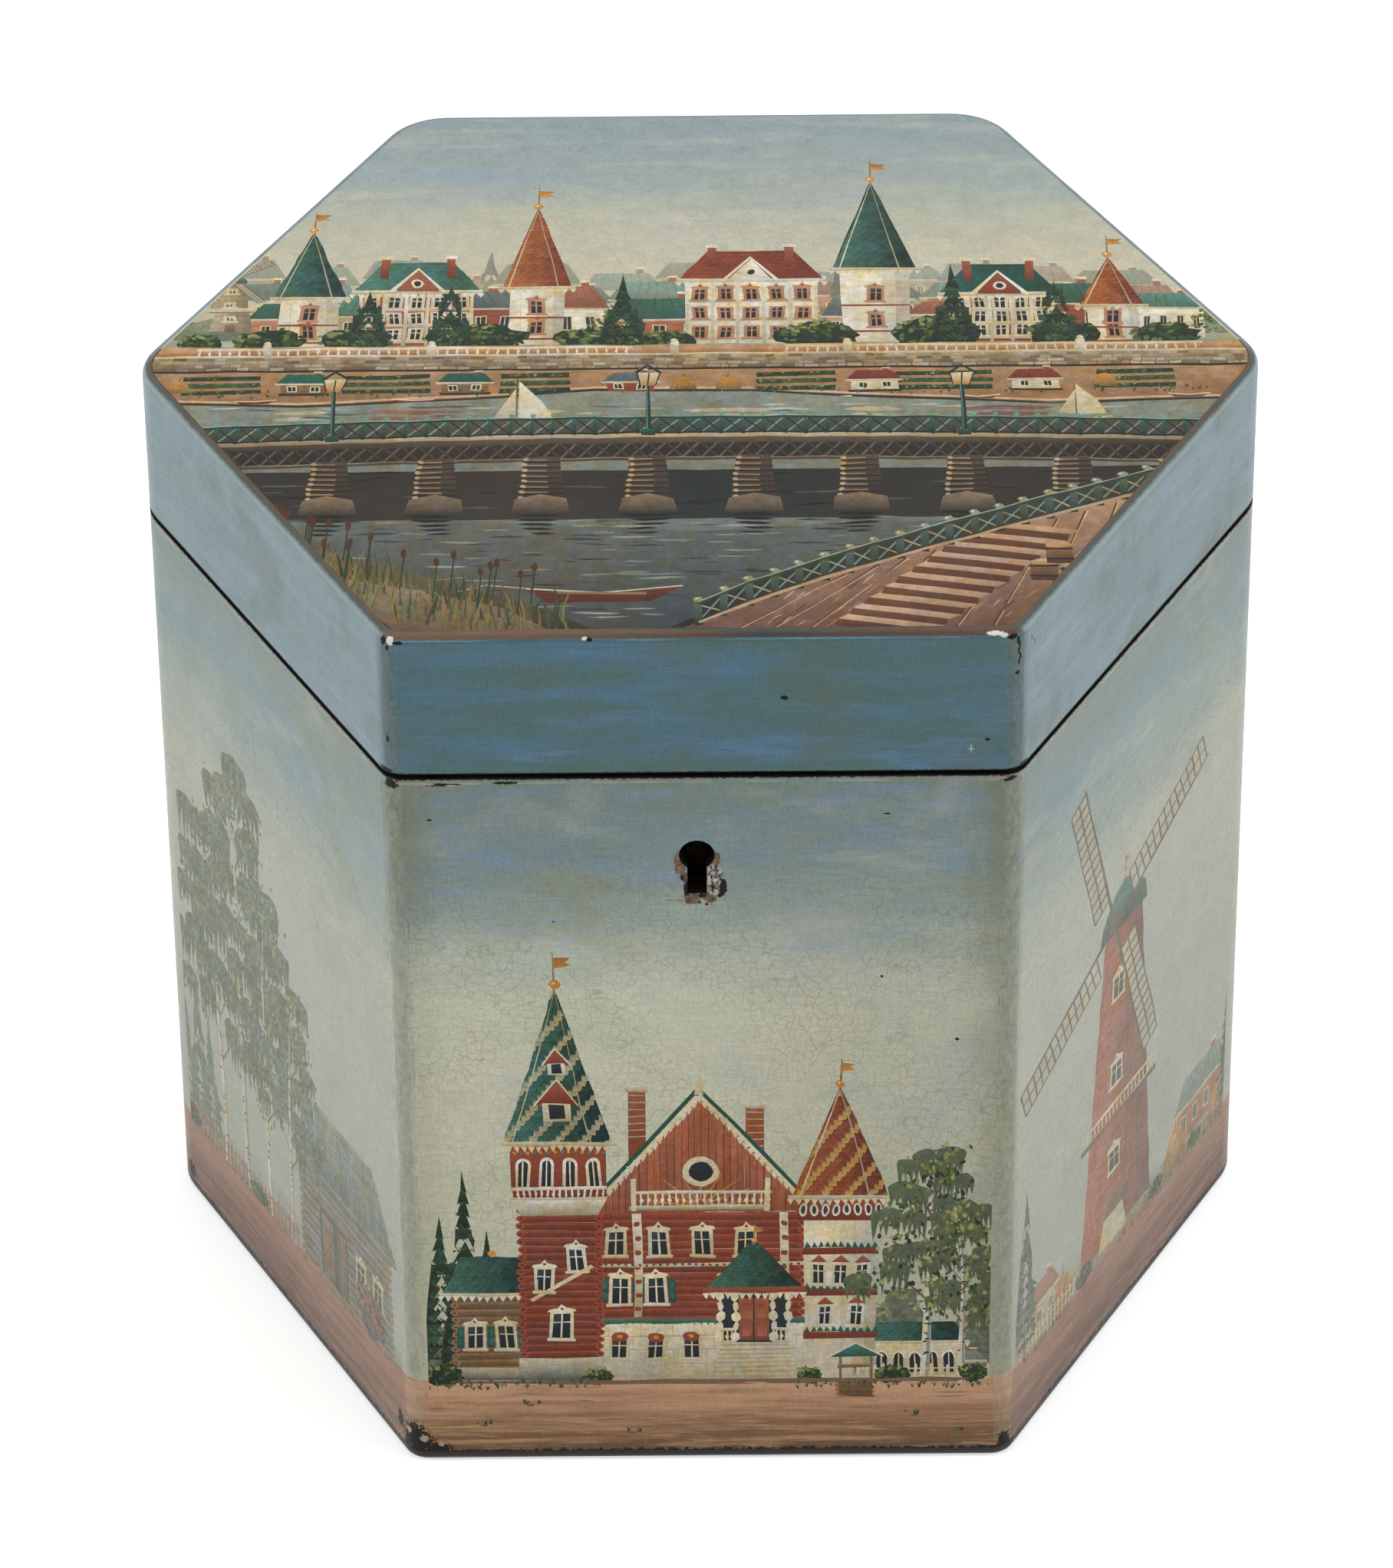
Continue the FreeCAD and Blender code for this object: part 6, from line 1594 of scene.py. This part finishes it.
def top_shape(canvas, boards, spots, triangle, covers):
    """The last shape laid over a triangle."""
    if not any(c < boards for c in covers):
        return OFF_BOARD
    u = sum(spots[k].x for k in triangle) / 3
    v = sum(spots[k].y for k in triangle) / 3
    for c in sorted((c - boards for c in covers if c >= boards), reverse=True):
        low_u, high_u, low_v, high_v = canvas.shapes[c][7]
        if low_u - 0.01 <= u <= high_u + 0.01 and low_v - 0.01 <= v <= high_v + 0.01:
            return c
    return GROUND_SHOWS


def fewer_triangles(spots, cut, seen, held):
    """The same picture in fewer triangles: only lines between two shapes stay, and no needless points on them."""
    edge_seen = {}
    for triangle, top in zip(cut, seen):
        for a, b in zip(triangle, triangle[1:] + triangle[:1]):
            edge_seen.setdefault((min(a, b), max(a, b)), []).append(top)
    beside = {}
    for (a, b), tops in edge_seen.items():
        if len(tops) == 1 and tops[0] != OFF_BOARD or len(tops) == 2 and tops[0] != tops[1]:
            beside.setdefault(a, set()).add(b)
            beside.setdefault(b, set()).add(a)
    for v in list(beside):
        if v in held or len(beside[v]) != 2:
            continue
        a, b = beside[v]
        long = (spots[b] - spots[a]).length
        away = abs((spots[b] - spots[a]).cross(spots[v] - spots[a])) / max(long, 1e-9)
        if b not in beside[a] and long > 1e-3 and away < STRAIGHT:
            beside[a].remove(v)
            beside[b].remove(v)
            beside[a].add(b)
            beside[b].add(a)
            del beside[v]
    for v in held:
        beside.setdefault(v, set())
    order = {v: k for k, v in enumerate(beside)}
    lines = [(order[a], order[b]) for a in beside for b in beside[a] if a < b]
    new, _, again, olds, _, _ = delaunay_2d_cdt([spots[v] for v in beside], lines, [], 0, TOUCHING, True)
    names = list(beside)
    kept = {names[o]: k for k, found in enumerate(olds) for o in found}
    finder = BVHTree.FromPolygons([(v.x, v.y, 0.0) for v in spots], cut)
    result, tops = [], []
    for triangle in again:
        middle = (new[triangle[0]] + new[triangle[1]] + new[triangle[2]]) / 3
        top = seen[finder.find_nearest((middle.x, middle.y, 0.0))[2]]
        if top != OFF_BOARD:
            result.append(triangle)
            tops.append(top)
    return new, result, tops, kept


class Board:
    """A copy of a CAD board. Its flat outer sides are cut up along the outlines of their pictures."""

    def __init__(self, node):
        self.places, self.faces, self.corner_normals, self.face_normals = mesh_arrays(node)
        self.points = list(self.places)
        self.left = set(i for i, f in enumerate(self.faces) if len(set(f)) == len(f))
        self.made, self.normals, self.slots, self.paints, self.touches = [], [], [], [], []

    def add(self, face, normals, slot, paints=None, touch=(0.0, 0.0, 0.0)):
        self.made.append(face)
        self.normals.extend(normals)
        self.slots.append(slot)
        self.paints.extend(paints or [BARE] * len(face))
        self.touches.extend([(*touch, 1.0)] * len(face))

    def flat_side(self, origin, out):
        """The faces that lie in one outer side; they are taken from those left."""
        flat = [i for i in self.left if self.face_normals[i].dot(out) > SAME_WAY
                and abs((self.places[self.faces[i][0]] - origin).dot(out)) < SAME_LEVEL]
        self.left -= set(flat)
        return flat

    def paint_side(self, canvas, origin, right, up, out):
        """Cuts one flat side along its picture's outlines, and lays the picture's colours on it."""
        flat = self.flat_side(origin, out)
        used = sorted(set(v for i in flat for v in self.faces[i]))
        order = {v: k for k, v in enumerate(used)}
        spots = [((self.places[v] - origin).dot(right) / MM, (self.places[v] - origin).dot(up) / MM) for v in used]
        rings = [[order[v] for v in self.faces[i]] for i in flat]
        for outline, *_ in canvas.shapes:
            rings.append(list(range(len(spots), len(spots) + len(outline))))
            spots.extend(outline)
        new, _, cut, old_points, _, old_faces = delaunay_2d_cdt(
            [Vector(s) for s in spots], [], rings, 0, TOUCHING, True)
        tops = [top_shape(canvas, len(flat), new, triangle, covers) for triangle, covers in zip(cut, old_faces)]
        own = {o: k for k, olds in enumerate(old_points) for o in olds if o < len(used)}
        new, cut, tops, kept = fewer_triangles(new, cut, tops, set(own.values()))
        index = {kept[k]: used[o] for o, k in own.items() if k in kept}
        for k, (u, v) in enumerate(new):
            if k not in index:
                index[k] = len(self.points)
                self.points.append(origin + right * (u * MM) + up * (v * MM))
        for triangle, top in zip(cut, tops):
            face = [index[k] for k in triangle]
            if top < 0:
                self.add(face, [out] * 3, 0)
                continue
            _, low, high, (u0, v0), (du, dv), cover, touch, _ = canvas.shapes[top]
            shares = [min(max((new[k][0] - u0) * du + (new[k][1] - v0) * dv, 0.0), 1.0) for k in triangle]
            self.add(face, [out] * 3, 0, [(*blend(low, high, share), cover) for share in shares], touch)

    def piece(self, name, materials, pick):
        """The finished piece. pick gives the material of a face without a picture, by its middle and normal."""
        for i in sorted(self.left):
            middle = sum((self.places[v] for v in self.faces[i]), Vector()) / len(self.faces[i])
            self.add(self.faces[i], self.corner_normals[i], pick(middle / MM, self.face_normals[i]))
        worn = sorted(set(v for f in self.made for v in f))
        place = {v: k for k, v in enumerate(worn)}
        mesh = bpy.data.meshes.new(name)
        mesh.from_pydata([self.points[v] for v in worn], [], [[place[v] for v in f] for f in self.made])
        mesh.polygons.foreach_set("material_index", self.slots)
        mesh.polygons.foreach_set("use_smooth", [True] * len(self.made))
        for label, values in (("paint", self.paints), ("touch", self.touches)):
            layer = mesh.attributes.new(label, "FLOAT_COLOR", "CORNER")
            layer.data.foreach_set("color", np.array(values, np.float32).ravel())
        mesh.normals_split_custom_set(self.normals)
        for material in materials:
            mesh.materials.append(material)
        piece = bpy.data.objects.new(name, mesh)
        bpy.context.scene.collection.objects.link(piece)
        return piece


def flat_start(number):
    """How far from its sharp corner a side starts to be flat."""
    turn = math.pi - 2 * TURN if number in (2, 5) else TURN
    return CORNER_RADII[number] * math.tan(turn / 2) + MARGIN


def side_canvas(number, low, high):
    after = (number + 1) % 6
    half = math.dist(CORNERS[number], CORNERS[after]) / 2
    left, right = flat_start(number) - half, half - flat_start(after)
    border = [(left, low + MARGIN), (right, low + MARGIN), (right, high - MARGIN), (left, high - MARGIN)]
    # the front_right and front_left pictures are drawn 30 % toward grey-green as a painted sheen
    return Canvas(border, 100 + number, 0.3 if number in (1, 5) else 0.0)


def top_canvas():
    """The flat of the lid's top, within its rounded edge and corners."""
    border = []
    for i, radius in enumerate(CORNER_RADII):
        corner = Vector(CORNERS[i])
        before = (Vector(CORNERS[i - 1]) - corner).normalized()
        after = (Vector(CORNERS[(i + 1) % 6]) - corner).normalized()
        middle = corner + (before + after).normalized() * radius / math.sin(before.angle(after) / 2)
        first = math.atan2(before.x, -before.y)
        swing = math.pi - before.angle(after)
        for k in range(5):
            angle = first + swing * k / 4
            reach = radius - EDGE_RADIUS - 0.2
            border.append((middle.x + reach * math.cos(angle), middle.y + reach * math.sin(angle)))
    return Canvas(border, 200)


BOARD_EDGE = lacquer("board_edge", "#12100d", 0.5, "#2a241d", 0.08, 0.25)
RED_LACQUER = lacquer("red_lacquer", "#7e1f14", 0.32, "#5c170f")
BLACK_LACQUER = lacquer("black_lacquer", "#0d0b0a", 0.4, "#1f1b18", 0.12, 0.3)
PAINTED_SCENE = painted_scene()
LID_SIDE = lid_side_paint()
PANORAMA = panorama()

UP = Vector((0.0, 0.0, 1.0))
PICTURES = {
    "front": front_picture, "front_left": front_left_picture, "front_right": front_right_picture,
    "back": back_picture, "back_left": lambda c: back_side_picture(c, 1.0, False),
    "back_right": lambda c: back_side_picture(c, 3.0, True),
}
walls = Board("body_wall")
for number in range(6):
    canvas = side_canvas(number, BODY_LOW, RIM)
    PICTURES[SIDES[number]](canvas)
    origin, right, out = side_frame(number)
    walls.paint_side(canvas, origin, right, UP, out)


def on_a_side(middle, normal, least):
    """Whether a face lies close behind one of the six outer sides and looks outwards."""
    outside = Vector((middle.x, middle.y, 0.0)).normalized().dot(normal) > least
    return outside and any(
        abs((Vector((*CORNERS[n], 0)) - middle).dot(side_frame(n)[2])) < SIDE_REACH for n in range(6))


def body_finish(middle, normal):
    """Painted on the outside, bare lacquered board on the rim, in the keyhole and within."""
    return 0 if on_a_side(middle, normal, 0.6) and abs(normal.z) < 0.05 else 1


painted_body = walls.piece("painted_body", (PAINTED_SCENE, BOARD_EDGE), body_finish)
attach(painted_body, "case")
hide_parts("body_wall")

view = top_canvas()
top_picture(view)
lid = Board("lid_top")
lid.paint_side(view, Vector((0.0, 0.0, LID_TOP * MM)), Vector((1.0, 0.0, 0.0)), Vector((0.0, 1.0, 0.0)), UP)
painted_lid_top = lid.piece("painted_lid_top", (PANORAMA, LID_SIDE, RED_LACQUER),
                            lambda middle, normal: 1 if normal.z > -0.3 and middle.z > TOP_SEAT else 2)
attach(painted_lid_top, "lid")
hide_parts("lid_top")


def lid_finish(middle, normal):
    """Blue-grey outside, black on the rim and red within."""
    if normal.z < -0.5:
        return 1
    return 0 if on_a_side(middle, normal, 0.5) else 2


painted_lid_wall = Board("lid_wall").piece("painted_lid_wall", (LID_SIDE, BOARD_EDGE, RED_LACQUER), lid_finish)
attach(painted_lid_wall, "lid")
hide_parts("lid_wall")

FINISHES = {
    "base_board": BLACK_LACQUER,
    "inner_lining": RED_LACQUER,
    ("lock_block", "strike_block"): wood("lock_wood", "#8a6a48", "#5f452d"),
    # the lock case, seen only through the keyhole, is brass darkened by tarnish and by painted shade
    "lock_case": metal("brass_tarnish_and_painted_shade", "#2e2415", "#15100a", 0.5),
    ("lock_backplate", "strike_plate", "hinge_leaf_body", "hinge_leaf_lid",
     "hinge_nails_body", "hinge_nails_lid"): metal("old_brass", "#b08d4f", "#6f5427", 0.32),
    ("lock_screws", "strike_screws"): metal("screw_brass", "#b9975a", "#7d6233", 0.28),
    ("lock_bolt", "lock_stumps", "detent_spring", "hinge_pin"): metal("old_steel", "#8c8a86", "#4c4743", 0.3),
    # the key pin is painted near black, a painted shade for the dark inside of the keyhole
    "key_pin": metal("pin_steel_painted_shade", "#14110f", "#0a0908", 0.7),
}
for nodes, material in FINISHES.items():
    for node in (nodes,) if isinstance(nodes, str) else nodes:
        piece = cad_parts[node]
        for held in piece.material_slots:
            held.material = material

# The room, the lamps and the camera
PAPER_GLOW, AIR_LIGHT = 0.5, 0.23
bpy.ops.mesh.primitive_plane_add(size=8.0, location=(0.0, 0.0, 0.0))
floor = bpy.context.object
floor.name = "studio_floor"


def studio_white():
    """White paper that stays white to the eye and still takes the object's shadow."""
    m = new_material("studio_white")
    return m.finish("#f4f4f3", 0.9, glow=m.seen() * PAPER_GLOW)


floor.data.materials.append(studio_white())

world = bpy.data.worlds.new("studio_air")
bpy.context.scene.world = world
air = Mixer(world)
dim_air = air.node("Background", ["#ffffff", AIR_LIGHT])
bright_paper = air.node("Background", ["#ffffff", 1.0])
air.node("OutputWorld", [air.node("MixShader", [air.seen(), dim_air.outputs[0], bright_paper.outputs[0]]).outputs[0]])


def soft_light(name, place, target, size, power):
    light = bpy.data.lights.new(name, "AREA")
    light.shape = "DISK"
    light.size = size
    light.energy = power
    lamp = bpy.data.objects.new(name, light)
    bpy.context.scene.collection.objects.link(lamp)
    lamp.location = place
    lamp.rotation_euler = (Vector(target) - Vector(place)).to_track_quat("-Z", "Y").to_euler()
    return lamp


soft_light("left_softbox", (-0.95, -0.25, 0.55), (0, 0, 0.06), 0.7, 4.9)
soft_light("right_softbox", (0.95, -0.25, 0.60), (0, 0, 0.06), 0.7, 5.0)
soft_light("overhead_softbox", (0.05, 0.10, 1.1), (0, 0, 0.06), 0.8, 3.9)
soft_light("front_fill", (0.1, -1.3, 0.9), (0, 0, 0.06), 0.9, 0.9)

# The camera stands where the photograph was taken from
AZIMUTH, ELEVATION, ROLL = math.radians(0.133), math.radians(35.40), math.radians(-0.554)
DISTANCE, FOCAL, PHOTO_HEIGHT, SENSOR = 0.9507, 10352.0, 2044.0, 36.0
TARGET = Vector((-0.00089, 0.0, 0.05805))
back = Vector((math.sin(AZIMUTH) * math.cos(ELEVATION), -math.cos(AZIMUTH) * math.cos(ELEVATION),
               math.sin(ELEVATION)))
level = Vector((math.cos(AZIMUTH), math.sin(AZIMUTH), 0.0))
rise = back.cross(level)
right_way = level * math.cos(ROLL) + rise * math.sin(ROLL)
up_way = rise * math.cos(ROLL) - level * math.sin(ROLL)
lens = bpy.data.cameras.new("camera")
lens.sensor_fit = "AUTO"
lens.sensor_width = SENSOR
lens.lens = FOCAL * SENSOR / PHOTO_HEIGHT
lens.clip_start = 0.05
lens.clip_end = 20.0
camera = bpy.data.objects.new("camera", lens)
bpy.context.scene.collection.objects.link(camera)
turn = Matrix((right_way, up_way, back)).transposed().to_4x4()
camera.matrix_world = Matrix.Translation(TARGET + back * DISTANCE) @ turn
bpy.context.scene.camera = camera
bpy.context.scene.view_settings.view_transform = "Standard"

bpy.context.view_layer.update()
